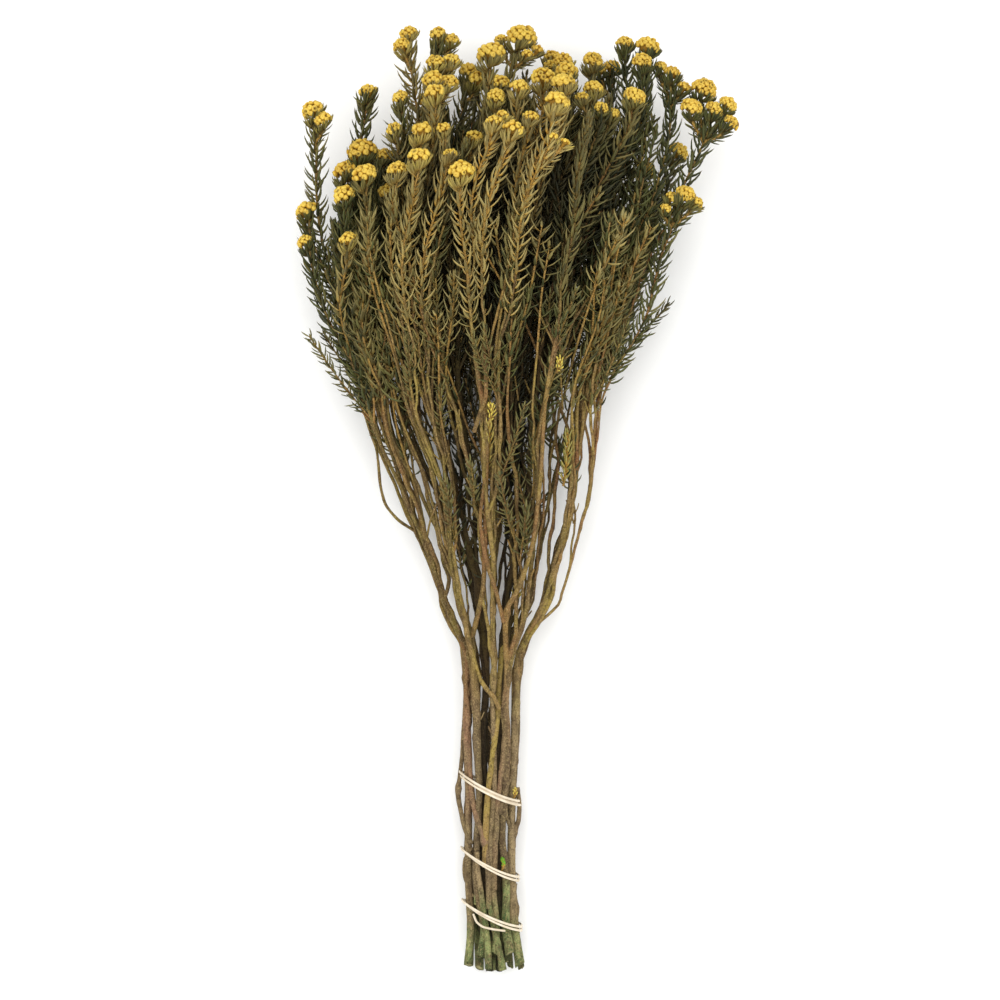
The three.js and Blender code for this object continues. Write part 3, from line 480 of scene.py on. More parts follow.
def needles(feet, pulls, tips, outer, halfWidths, shape=needleShape, **values):
    count, rings = len(feet), len(shape["shares"])
    t = np.array(shape["shares"])[None, :, None]
    spine = (1 - t) ** 2 * feet[:, None] + 2 * t * (1 - t) * pulls[:, None] + t**2 * tips[:, None]
    tangent = unit((1 - t) * (pulls - feet)[:, None] + t * (tips - pulls)[:, None])
    side = unit(np.cross(np.repeat(outer[:, None], rings, 1), tangent))
    over = np.cross(tangent, side)
    wide = halfWidths[:, None] * np.array(shape["fullness"])[None]
    ring = np.stack([spine + side * wide[..., None], spine + over * wide[..., None] * shape["keel"],
                     spine - side * wide[..., None]], 2)
    each = 3 * rings + 1
    verts = np.concatenate([ring.reshape(count, each - 1, 3), tips[:, None]], 1)
    j, end = np.arange(3), np.full(3, each - 1)
    quads = ringQuads(rings, 3)
    tris = np.concatenate([np.stack([end, each - 4 + j, each - 4 + (j + 1) % 3], -1), [[2, 1, 0]]])
    starts = (np.arange(count) * each)[:, None, None]
    margin = np.tile(np.array([1, 0, 1] * rings + [0.9]), count)
    rise = np.tile(np.append(np.repeat(np.array(shape["shares"]), 3), 1.0), count)
    full = {key: np.repeat(np.broadcast_to(value, count), each) for key, value in values.items()}
    # the needles carry painted shade, darker deep in the bunch and on its lower side
    return part(verts.reshape(-1, 3), quads[None] + starts, tris[None] + starts, margin=margin, rise=rise,
                sunk=np.repeat(paintedShadeAt(feet, 0.35), each), **full)


# Keeps the needles that stay in the box, off the ground and out of the heads.
def clearOfHeads(feet, pulls, tips, slack=0.96):
    middle = 0.25 * feet + 0.5 * pulls + 0.25 * tips
    keep = inBox(middle) & inBox(tips)
    for p in (middle, tips):
        gap = np.linalg.norm(p[:, None] - headCentres, axis=2)
        keep &= (gap > headReach * slack).all(1)
    return keep


leafyShoot = {"length": 84, "edgeExtra": 22, "each": 1.2, "closeEach": 0.8, "innerEach": 1.3, "needle": 9.8,
              "halfWidth": 0.84, "oldReach": 40, "oldStep": 2.2, "lowest": 190, "lowestAtSides": 296,
              "lengths": (0.66, 1.12), "widths": (0.82, 1.12), "tilt": (1.18, 0.86), "tiltNoise": 0.17,
              "curl": (0.26, 0.62), "sway": 0.14}


# The way a needle leaves its shoot at a tilt, and the way square to it that it curves, towards the tip.
def leanOut(tilt, radial, forward):
    return around(tilt, forward, radial), around(tilt, -radial, forward)


# Needles up a shoot: each turned by the golden angle from the one below, leaning out and curving inward.
def shootNeedles(branch, rng):
    tip, line = branch["tip"], branch["line"]
    top = headFoot(branch["heads"][0])[1] - 0.5 if branch["heads"] else tip["at"]
    dense = branch.get("leafy", leafyShoot["length"] + leafyShoot["edgeExtra"] * min(1, abs(tip["u"])))
    dense *= rng.uniform(0.8, 1.12)
    bare = mix(leafyShoot["lowest"], leafyShoot["lowestAtSides"], smooth((abs(tip["u"]) - 0.3) / 0.3))
    low = max(branch["start"] + 14, top - dense, min(bare, top - 20))
    oldLow = max(branch["start"] + 18, low - leafyShoot["oldReach"], bare)
    inner = "leafy" in branch
    close = max(smooth((tip["u"] - 0.1) / 0.35), smooth((0.5 - tip["v"]) / 0.3))
    each = mix(leafyShoot["each"], leafyShoot["closeEach"], close)
    share = np.linspace(0, 1, max(4, int((top - low) / (leafyShoot["innerEach"] if inner else each))))
    fresh = low + (top - low) * (1 - (1 - share) ** 1.25)  # closer together towards the tip
    old = np.arange(oldLow, low, leafyShoot["oldStep"]) if oldLow < low else np.zeros(0)
    at = np.concatenate([old, fresh])
    aged = np.concatenate([np.ones(len(old)), np.zeros(len(fresh))])
    at = at + rng.uniform(-0.3, 0.3, len(at))
    near = np.clip((at - low) / (top - low), 0, 1)  # 0 at the foot of the leafy stretch, 1 at the tip
    turn = np.arange(len(at)) * goldenAngle + rng.uniform(-0.25, 0.25, len(at))
    centre = line(at)
    forward, side, over = pathFrames(centre)
    radial = around(turn, side, over)
    # from laid close to standing out
    spread = mix(rng.uniform(0.6, 1.08), 0.98, 0.6 * (abs(tip["u"]) > 0.42))
    tilt = spread * mix(*leafyShoot["tilt"], near**1.6)
    tilt = tilt + leafyShoot["tiltNoise"] * rng.normal(size=len(at)) + 0.08 * aged
    length = leafyShoot["needle"] * rng.uniform(*leafyShoot["lengths"], len(at)) * mix(1, 0.85, aged)
    if not branch["heads"]:
        length *= mix(1, 0.5, smooth((near - 0.8) / 0.2))
    radius = np.minimum(woodRadius(branch, at), 1.1)
    aim, inward = leanOut(tilt, radial, forward)
    sway = np.cross(aim, inward) * (leafyShoot["sway"] * rng.normal(size=len(at)))[:, None]
    curl = rng.uniform(*leafyShoot["curl"], len(at))
    feet = centre + radial * (radius * 0.6)[:, None]
    pulls = feet + aim * (0.5 * length)[:, None]
    tips = feet + (aim + sway) * length[:, None] + inward * (curl * length)[:, None]
    keep = clearOfHeads(feet, pulls, tips)
    if aged.any():
        still = np.clip((at - oldLow) / leafyShoot["oldReach"], 0, 1)
        keep &= (aged < 0.5) | (rng.uniform(size=len(at)) < still)
    dark = np.clip(0.3 * aged + 0.15 * (1 - near) + branch["dark"] + 0.12 * rng.normal(size=len(at)), 0, 1)
    half = leafyShoot["halfWidth"] * rng.uniform(*leafyShoot["widths"], len(at)) * mix(1, 0.8, aged)
    half *= 1.1 if inner else 1
    tone = np.clip(rng.uniform(size=len(at)) + 0.7 * (rng.uniform() - 0.5), 0, 1)
    # the golden foot fades on dark shoots, partly painted shade deep in the bunch
    return needles(feet[keep], pulls[keep], tips[keep], -inward[keep], half[keep],
                   innerNeedle if inner else needleShape, tone=tone[keep], dark=dark[keep],
                   gold=(0.45 + 0.55 * near)[keep] * max(0.1, 1 - branch["dark"]), ripe=0.0, fresh=0.0)


cup = {"perWide": (4.4, 3.4), "deep": 8.5, "halfWidth": 0.64, "longest": 8.6, "sway": 0.26,
       "flare": (0.92, 1.32), "rise": (-0.1, 0.38)}


# The cup under a head: needles from the last stretch of the wood that flare like a funnel, pass the head's
# widest ring and close in over its outer florets; those with a lower foot end lower. On a closed head there
# are more of them and they end higher.
def cupNeedles(head, wood, rng):
    radius = head["wide"] / 2
    count, axis = int(mix(*cup["perWide"], head["open"]) * head["wide"]), head["aim"]
    turn = np.arange(count) * goldenAngle + rng.uniform(-0.25, 0.25, count)
    radial = around(turn, *squareTo(axis, (0.3, 0.1, 1.0)))
    deep = (np.arange(count) * 0.618 + 0.1) % 1  # 0 just under the head, 1 at the foot of the funnel
    foot = downFrom(wood, deep * cup["deep"] * min(1, radius / 5))
    flare = radius * rng.uniform(*cup["flare"], count) + 0.5
    rise = radius * (rng.uniform(*cup["rise"], count) - 0.8 * deep + 0.6 * (1 - head["open"]))
    feet = foot + radial * mix(0.35 * radius, 0.7, deep)[:, None]
    tips = head["centre"] + radial * flare[:, None] + axis * rise[:, None]
    tips += np.cross(axis, radial) * (cup["sway"] * cup["longest"] * rng.normal(size=count))[:, None]
    long = np.linalg.norm(tips - feet, axis=1)
    tips = feet + (tips - feet) * np.minimum(1, cup["longest"] / long)[:, None]
    pull = (radial * rng.uniform(0.2, 1.3, (count, 1)) - axis * 0.12) * (0.36 * radius)
    pulls = mix(feet, tips, 0.5) + pull
    outer = unit(radial - 0.5 * axis)
    keep = inBox(0.25 * feet + 0.5 * pulls + 0.25 * tips) & inBox(tips)
    half = cup["halfWidth"] * rng.uniform(0.85, 1.15, count)
    dark = np.clip(head["branch"]["dark"] + 0.1 * rng.normal(size=count), 0, 1)
    tone = rng.uniform(size=keep.sum())
    ripe = head["ripe"] * rng.uniform(0.1, 0.8, count)
    return needles(feet[keep], pulls[keep], tips[keep], outer[keep], half[keep],
                   tone=tone, dark=dark[keep], gold=0.35, ripe=ripe[keep], fresh=0.0)


# The step that brings points into the box: how far their largest and smallest coordinates lie outside.
def toBox(points):
    local = points.reshape(-1, 3) - shift
    return np.minimum(0, boxHigh - 0.1 - local.max(0)) + np.maximum(0, boxLow + 0.1 - local.min(0))


# One floret as a turned profile: reach from its axis and height, in shares of its radius, from the root over
# the shoulder into the dimple; the last two columns give how lit and how deep each ring is, and the depth
# darkens the hollow, partly as the floret's dark centre and partly as painted shade.
floretProfile = np.array([(0.6, -0.5, 0, 0), (0.96, 0, 0.25, 0), (0.84, 0.54, 0.85, 0), (0.42, 0.88, 1, 0.3)])
floret = {"radius": 1.62, "fine": 0.8, "sides": 9, "lobes": 5, "droop": (-0.12, 0.42), "packed": 0.84,
          "inset": (-0.34, 0.2), "sizes": (0.84, 1.12), "opened": 0.2, "dimple": (0.68, 0.9), "lobe": 0.07,
          "uneven": 0.05, "core": 0.8}


# Florets cover a head: points of a golden spiral on its squashed ball, from the crown down past the middle,
# or on a closed head to just above it.
def floretHead(head, rng):
    radius = head["wide"] / 2
    finer = smooth((head["branch"]["tip"]["u"] - 0.15) / 0.35)
    size = floret["radius"] * np.clip(radius / 5.2, 0.78, 1.12) * mix(1, floret["fine"], finer)
    seat, droop = radius - size * 0.52, mix(*floret["droop"], head["open"])
    count = max(4, int(round(2 * (1 + droop) * (seat / size) ** 2 / floret["packed"])))
    k = np.arange(count) + 0.5
    up = 1 - k / count * (1 + droop)
    turn = k * goldenAngle + rng.uniform(0, 6.28)
    up = np.clip(up + rng.normal(size=count) * 0.04, -0.5, 0.995)
    ring = np.sqrt(1 - up**2)
    axis = head["aim"]
    flatWay = ring[:, None] * around(turn, *squareTo(axis, (0.2, 0.3, 1.0)))
    way = flatWay + up[:, None] * axis
    centres = head["centre"] + flatWay * seat + axis * (up * seat * headShape["squash"])[:, None]
    centres = centres + way * (rng.uniform(*floret["inset"], count) * size)[:, None]
    lean = unit(way + 0.16 * rng.normal(size=(count, 3)))
    sizes = size * rng.uniform(*floret["sizes"], count)
    opened = rng.uniform(size=count) < floret["opened"]
    first, second = squareTo(lean, (0.61, 0.37, 0.7))
    sides, rings = floret["sides"], len(floretProfile)
    angle = roundAngles(sides)
    lobe = floret["lobe"] * np.cos(floret["lobes"] * angle)
    uneven = lambda: floret["uneven"] * rng.normal(size=(count, rings, sides))
    reach = floretProfile[:, 0][None, :, None] * (1 + lobe + uneven())
    height = floretProfile[:, 1][None, :, None] * (1 + 0.8 * lobe + uneven())
    reach[:, 3] *= np.where(opened, 1.25, 1)[:, None]
    outward = around(angle[None, None], first[:, None, None], second[:, None, None])
    spot = centres[:, None, None] + sizes[:, None, None, None] * (
        reach[..., None] * outward + height[..., None] * lean[:, None, None])
    root = centres - lean * (0.75 * sizes)[:, None]
    dimple = np.where(opened, 0.12, rng.uniform(*floret["dimple"], count))
    hollow = centres + lean * (sizes * dimple)[:, None]
    verts = np.concatenate([spot.reshape(count, -1, 3), root[:, None], hollow[:, None]], 1)
    verts = verts + toBox(verts)
    each = rings * sides + 2
    starts = (np.arange(count) * each)[:, None, None]
    lit = np.tile(np.concatenate([np.repeat(floretProfile[:, 2], sides), [0, 0.6]]), count)
    deep = np.tile(np.concatenate([np.repeat(floretProfile[:, 3], sides), [0, 1]]), count)
    deep = deep * np.repeat(np.where(opened, 1.0, 0.22), each)
    tone = np.repeat(np.clip(0.5 + 0.22 * rng.normal(size=count) + head["tone"], 0, 1), each)
    # painted shade for heads that lie deep in the bunch
    sunk = paintedShadeAt(head["centre"][None])[0]
    florets = part(verts.reshape(-1, 3), ringQuads(rings, sides) + starts, ringCaps(rings, sides) + starts,
                   lit=lit, deep=deep, tone=tone, sunk=sunk)
    # the ball and funnel are coloured a darker yellow-brown, painted shade between the florets
    within = {"core": 1.0, "tone": 0.5}  # a plain ball and a funnel that close the gaps
    t = np.linspace(-1, 1, 7)
    ball = tube(head["centre"] + axis * (t * (seat * floret["core"]) * headShape["squash"])[:, None],
                np.sqrt(np.maximum(0.02, 1 - t**2)) * seat * floret["core"], 10, within)
    foot = headFoot(head)
    t = np.linspace(0, 1, 6)[:, None]
    funnel = tube(mix(foot - axis * 1.5, head["centre"], t), mix(0.8, 0.62 * seat, t[:, 0] ** 1.2), 9, within)
    return [florets, ball, funnel]


bark = {"step": 2.7, "footSides": 12, "twigSides": 7, "thinStep": 3.6, "thinSides": 5, "slim": 0.58,
        "crook": 2.3, "crookStep": 24, "crookTo": 150, "kinks": ((0.65, 4.4), (0.3, 1.9)), "knots": (6, 4),
        "knot": (3.4, 0.6), "knotHigh": 0.45, "scar": (1.6, 0.55), "scarSteps": (3.1, 4.2), "swell": 0.16,
        "rough": ((0.07, 8), (0.05, 2.2)), "leafyRadius": (1.15, 0.85), "tipRadius": (0.75, 0.45)}


# A stem's crooked way where it is bound: steps to the side every 24 mm, joined by a cubic. The stems on
# the rim lie against the bands and step a little inwards between them.
def crookOf(stem):
    rng = np.random.default_rng(40 + stem["index"])
    at = np.arange(-bark["crookStep"], bark["crookTo"] + 2 * bark["crookStep"], bark["crookStep"])
    steps = bark["crook"] * rng.uniform(-1, 1, (len(at), 2)) * [1, 0.5]
    way = np.array([stem["u"], stem["v"]])
    slack = stemRings["radius"] * (1 - stem["girth"]) * np.array([1, 1 if way[1] < 0 else -0.5])
    steps = np.where(np.abs(way) > 0.7, way * slack - np.sign(way) * 0.3 * np.abs(steps), steps)
    steps = steps * (at < bark["crookTo"] - 20)[:, None]
    steps[:, 0] += 4 * stem["u"] * np.clip((12 - at) / 24, 0, 1)  # the cut ends splay a little
    return np.column_stack([at, steps[:, 0], 0 * at, steps[:, 1]])


# Round bumps on a stem: the sum of size * exp(-(distance along / long)^2 - (angle apart / wide)^2).
def bumpsOn(at, angle, bumpAt, bumpTurn, long, wide, size):
    apart = (at[:, None, None] - bumpAt) / long
    turned = np.angle(np.exp(1j * (angle[:, None] - bumpTurn)))
    return (size * np.exp(-apart**2 - (turned / wide) ** 2)).sum(-1)


# Wood of a branch: its radius eased over forks, swollen there, roughened by waves, dotted with leaf scars,
# its line kinked by two triangle waves away from the forks.
def branchWood(branch, rng):
    tip, line, start = branch["tip"], branch["line"], branch["start"]
    trunk, thin = start == 0, "leafy" in branch
    low = stemRings["cutUneven"] * chance(branch["stem"]["index"], 13) if trunk else start - 2
    end = headFoot(branch["heads"][0]) if branch["heads"] else line(tip["at"])[0]
    step = bark["thinStep" if thin else "step"]
    at = np.linspace(low, end[1], max(12, int((end[1] - low) / step)))
    centres = line(at)
    centres = centres + (end - centres[-1]) * smooth((at - end[1] + 9) / 9)[:, None]
    centres = centres + follow(branch["stem"]["crook"], np.minimum(at, bark["crookTo"]))
    joins = [child["start"] for child in branch["made"]] + branch.get("joins", [])
    free = smooth((at - max(start, 120) - 4) / 14) * (1 - smooth((at - end[1] + 95) / 25))
    for join in joins:
        free = free * (1 - np.exp(-((at - join) / 9) ** 2))
    for axis, salt in ((0, 61), (2, 63)):
        for reach, length in bark["kinks"]:
            phase = 6.28 * chance(tip["index"], salt + reach)
            centres[:, axis] += free * reach * np.arcsin(np.sin(at / length + phase)) / 1.57
    eased = np.mean([woodRadius(branch, at + s) for s in (-6, -3, 0, 3, 6)], 0)
    top = end[1] - 4
    leafy = mix(*bark["leafyRadius"], np.clip((at - top + 60) / 60, 0, 1))
    radius = mix(eased, np.minimum(eased, leafy), smooth((at - top + 75) / 25))
    radius = mix(radius, bark["tipRadius"][0 if branch["heads"] else 1], smooth((at - end[1] + 6) / 6))
    if not trunk:
        radius *= mix(0.82, 1, smooth((at - start) / 8))
    girth = branch["stem"]["girth"] * (1 + 0.1 * np.sin(at / 21 + 3 * tip["index"])) if trunk else 1
    radius *= mix(girth, bark["slim"], smooth((at - 120) / 80))
    for child in branch["made"]:
        radius *= 1 + bark["swell"] * np.exp(-((at - child["start"] - 1.5) / 4.5) ** 2)
    sides = bark["footSides"] if trunk else bark["thinSides" if thin else "twigSides"]
    _, side, over = pathFrames(centres)
    angle = roundAngles(sides)
    skin = centres[:, None] + around(angle[None], side[:, None], over[:, None]) * radius[:, None, None]
    (coarse, coarseSize), (fine, fineSize) = bark["rough"]
    rough = 1 + coarse * grain(skin, coarseSize, 3 + tip["index"])
    rough += fine * grain(skin * [1, 0.4, 1], fineSize, 90 + tip["index"])  # drawn out along the stem
    scarAt = np.arange(max(low + 8, 30), top, bark["scarSteps"][0 if at[-1] - at[0] < 300 else 1])
    scarSize = 0.2 * smooth((scarAt - 140) / 120) + 0.08
    scarTurn = np.arange(len(scarAt)) * goldenAngle
    bumps = bumpsOn(at, angle, scarAt, scarTurn, *bark["scar"], scarSize)
    knotAt = rng.uniform(max(low + 15, 20), max(low + 40, end[1] - 100), bark["knots"][0 if trunk else 1])
    knotTurn = rng.uniform(0, 6.28, len(knotAt))
    bumps += bumpsOn(at, angle, knotAt, knotTurn, *bark["knot"], bark["knotHigh"] * radius[:, None, None])
    shell = radius[:, None] * rough + bumps
    greenTo = branch["stem"]["green"]
    moss = smooth((greenTo + 5 * grain(skin, 6, 17) - at[:, None]) / 16)
    # the golden young bark fades on dark shoots, partly painted shade deep in the bunch
    young = smooth((at - (end[1] - 80)) / 50) * (1 - 0.75 * branch["dark"])
    aged = 1 - smooth((at - 118) / 62)
    warm = mix(branch["warm"], branch["stem"]["warm"], aged) + 0.25 * grain(centres, 60, 23)
    # one of these values is painted shade, darker deep in the bunch and on its lower side
    values = {"moss": moss, "young": young, "warm": np.clip(warm, 0, 1),
              "tone": mix(branch["tone"], branch["stem"]["tone"], aged), "sunk": paintedShadeAt(centres, 0.3),
              "scar": np.clip(bumps / 0.25, 0, 1), "aged": aged}
    wood = tube(centres, shell, sides, values, endBulge=0.5)
    if trunk:  # a slanting cut, a little hollow
        wood["values"]["cut"] = np.concatenate([np.zeros(len(at) * sides), [1, 0]])
        rim = wood["verts"][:sides]
        rim[:, 1] += (rim - centres[0]) @ rng.uniform(-0.7, 0.7, 3) + rng.uniform(-0.4, 0.4, sides)
        wood["verts"][-2] = rim.mean(0) + np.array([0, 0.35, 0])
    return wood


# A side branch of a shoot that carries a head of its own: a bow from the shoot to the foot of the head.
def sideBranch(branch, head, rng):
    tip, line = branch["tip"], branch["line"]
    low = line(tip["at"] - 17)[0]
    foot = headFoot(head)
    away = head["centre"] - line(head["centre"][1])[0]
    beside = head["centre"][1] > tip["at"] - 2
    at = min(foot[1] - 2, tip["at"] - 3 if beside else mix(tip["at"] - 17, foot[1], 0.6))
    out = max(np.linalg.norm(away) * (1 if beside else 0.8), tip["head"] / 2 + 1.9 if beside else 2.6)
    bow = line(at)[0] + unit(away) * out
    t = np.linspace(0, 1, 12)[:, None]
    path = (1 - t) ** 2 * low + 2 * t * (1 - t) * bow + t**2 * foot
    values = {"young": 0.9, "warm": 0.5, "tone": branch["stem"]["tone"]}
    wood = tube(path, np.linspace(0.85, 0.7, 12), 6, values)
    return wood, twigNeedles(path, 0.8, 0.7, 6.4, branch["dark"], 0.6, rng), path[::-1]


# Needles along a twig given by its points: as on a shoot, with their tilt falling towards the tip.
def twigNeedles(path, radius, step, length, dark, gold, rng, tiltRange=(1.0, 0.5), ripe=0.0):
    whole = runOf(path)[-1]
    at = np.arange(2.0, whole, step)
    centre = downFrom(path, at)
    forward, side, over = pathFrames(centre)
    near = at / whole
    turn = np.arange(len(at)) * goldenAngle + rng.uniform(0, 6.28) + rng.uniform(-0.2, 0.2, len(at))
    radial = around(turn, side, over)
    tilt = mix(*tiltRange, near) + 0.1 * rng.normal(size=len(at))
    aim, inward = leanOut(tilt, radial, forward)
    size = length * rng.uniform(0.75, 1.1, len(at)) * mix(1, 0.7, smooth((near - 0.7) / 0.3))
    feet = centre + radial * radius * 0.6
    pulls = feet + aim * (0.5 * size)[:, None]
    tips = feet + aim * size[:, None] + inward * (rng.uniform(0.05, 0.3, len(at)) * size)[:, None]
    keep = clearOfHeads(feet, pulls, tips)
    darks = np.clip(dark + 0.1 * rng.normal(size=len(at)), 0, 1)
    half = 0.62 * rng.uniform(0.8, 1.1, keep.sum())
    return needles(feet[keep], pulls[keep], tips[keep], -inward[keep], half,
                   tone=rng.uniform(size=keep.sum()), dark=darks[keep], gold=gold, ripe=ripe, fresh=0.0)


sideTwigs = {"from": 205, "count": 0.8, "stubs": 3.2, "feet": 3, "sideLow": 290, "radius": 0.55}
twigKinds = {"twig": ((22, 50), (0.3, 0.6)), "stub": ((3, 8), (0.5, 0.9), (0.4, 0.65)),
             "foot": ((3, 6), (0.5, 0.9), (0.35, 0.6))}  # lengths, leans and, drawn by chance, radii


# Thin shoots between the others, in groups: how many, where they leave a branch and end along the bunch, how
# far from the middle and how deep they end, how far they wander from their branch, how much of them is leafy,
# how stout and how dark they are, darker for the groups that end deeper as partly painted shade, and for the
# last group which part of the half width they end in.
fillShoots = [
    (96, (262, 345), (385, 466), 0.9, (-0.85, 0.3), 0.26, 78, (1, 1), (0.75, 1.0)),
    (11, (115, 250), (232, 385), 0.3, (-0.6, 0.3), 0.3, 84, (1, 1), (0.45, 0.8)),
    (46, (118, 290), (335, 440), 0.86, (-0.2, 0.92), 0.52, 44, (1, 3), (0.35, 0.8)),
    (78, (280, 345), (436, 478), 0.8, (-0.55, 0.2), 0.34, 58, (1, 1), (0.55, 0.95)),
    (14, (290, 345), (440, 462), 0.27, (-0.5, 0.1), 0.2, 60, (1, 1), (0.8, 1.0)),
    (24, (140, 290), (320, 415), 0.7, (0.62, 0.98), 0.4, 14, (1, 2), (0.2, 0.6)),
    (9, (48, 96), (330, 420), 0.8, (0.3, 0.85), 0.36, 50, (4, 5), (0.4, 0.8)),
    (12, (285, 345), (450, 476), 0.64, (-0.5, 0.1), 0.3, 62, (1, 1), (0.7, 1.0)),
    (5, (285, 345), (480, 502), 0.8, (-0.3, 0.3), 0.2, 70, (1, 1), (0.7, 1.0), (0.56, 0.7)),
]
fillLimits = {"afterFork": 16, "beforeTip": 110, "least": 90, "fallFrom": 380, "clear": 1.4}


# Grows them by the same rule as the branches; one that would meet a head is left out.
def growFill():
    rng = np.random.default_rng(77)
    made = []
    for count, leaves, ends, reach, deep, wander, leafy, stout, dark, *side in fillShoots:
        wanted = len(made) + count
        while len(made) < wanted:
            parent = branches[rng.integers(len(branches))]
            start = rng.uniform(*leaves)
            if (start < parent["start"] + fillLimits["afterFork"]
                    or start > parent["tip"]["at"] - fillLimits["beforeTip"]):
                continue
            if leaves[0] < 100 and parent["stem"]["v"] < 0.2:  # the stout ones leave stems on the upper face
                continue
            at = rng.uniform(max(start + fillLimits["least"], ends[0]), ends[1])
            width, depth, x, z = bundle(start)
            p = parent["line"](start)[0]
            u = np.clip(parent["tip"]["u"] + wander * rng.normal(), -reach, reach)
            if side and not side[0][0] < u < side[0][1]:
                continue
            at -= max(0, at - fillLimits["fallFrom"]) * u * u
            v = rng.uniform(*deep) * math.sqrt(1 - u * u)
            forks = [(start, (p[0] - x) / width, (p[2] - z) / depth), (at, u, v)]
            index = 100 + len(made)
            line = makeLine(parent["stem"]["index"], forks, parent["line"], index)
            spots = line(np.linspace(start, at, 40))
            gaps = np.linalg.norm(spots[:, None] - headCentres, axis=2)
            if (gaps < headReach + fillLimits["clear"]).any():
                continue
            tip = {"index": index, "u": u, "v": v, "at": at, "head": 0}
            parent.setdefault("joins", []).append(start)
            made.append({"start": start, "loads": [(0, rng.uniform(*stout))], "stem": parent["stem"],
                         "tip": tip, "line": line, "made": [], "heads": [], "leafy": leafy,
                         "dark": rng.uniform(*dark), "tone": rng.uniform(), "warm": rng.uniform() ** 2})
    return made


# Thin leafy side twigs and short broken stubs on the bare part of a branch.
def thinTwigs(branch, rng):
    line, tip = branch["line"], branch["tip"]
    low, high = max(branch["start"] + 16, sideTwigs["from"]), tip["at"] - 78
    woods, leaves = [], []
    if abs(tip["u"]) > 0.45:
        low = max(low, sideTwigs["sideLow"])
    span = max(0, high - low)
    kinds = ["twig"] * rng.poisson(sideTwigs["count"] * span / 110)
    kinds += ["foot"] * (sideTwigs["feet"] if branch["start"] == 0 else 0)
    kinds += ["stub"] * rng.poisson(sideTwigs["stubs"] * span / 110)
    for kind in kinds:
        at = rng.uniform(30, 200) if kind == "foot" else rng.uniform(low, high)
        root = line(at)[0]
        forward = unit(line(at + 3)[0] - root)
        out = unit(np.cross(forward, rng.normal(size=3)))
        base = woodRadius(branch, at)[0] * 0.6
        long, lean, *thick = [rng.uniform(*limits) for limits in twigKinds[kind]]
        radius = thick[0] if thick else sideTwigs["radius"]
        t = np.linspace(0, 1, 16 if kind == "twig" else 5)[:, None]
        path = root + out * base * (1 - t) + t * long * (forward * math.cos(lean) + out * math.sin(lean))
        path = path + t**2 * long * 0.18 * forward + np.sin(t * 5 + at) * 0.02 * long * np.cross(forward, out)
        path = path + follow(branch["stem"]["crook"], np.minimum(at, bark["crookTo"]))
        gaps = np.linalg.norm(path[:, None] - headCentres, axis=2)
        if not inBox(path, 3).all() or (gaps < headReach + 1.5).any():
            continue
        values = {"young": 0.15, "warm": branch["stem"]["warm"], "tone": rng.uniform(),
                  "aged": float(kind == "foot")}
        woods.append(tube(path, np.linspace(1, 0.75, len(t)) * radius, 5, values, endBulge=0.2))
        if kind == "twig":
            leaves.append(twigNeedles(path[2:], radius, 1.0, 7, 0.75, 0.2, rng, (1.15, 0.6)))
    return woods, leaves
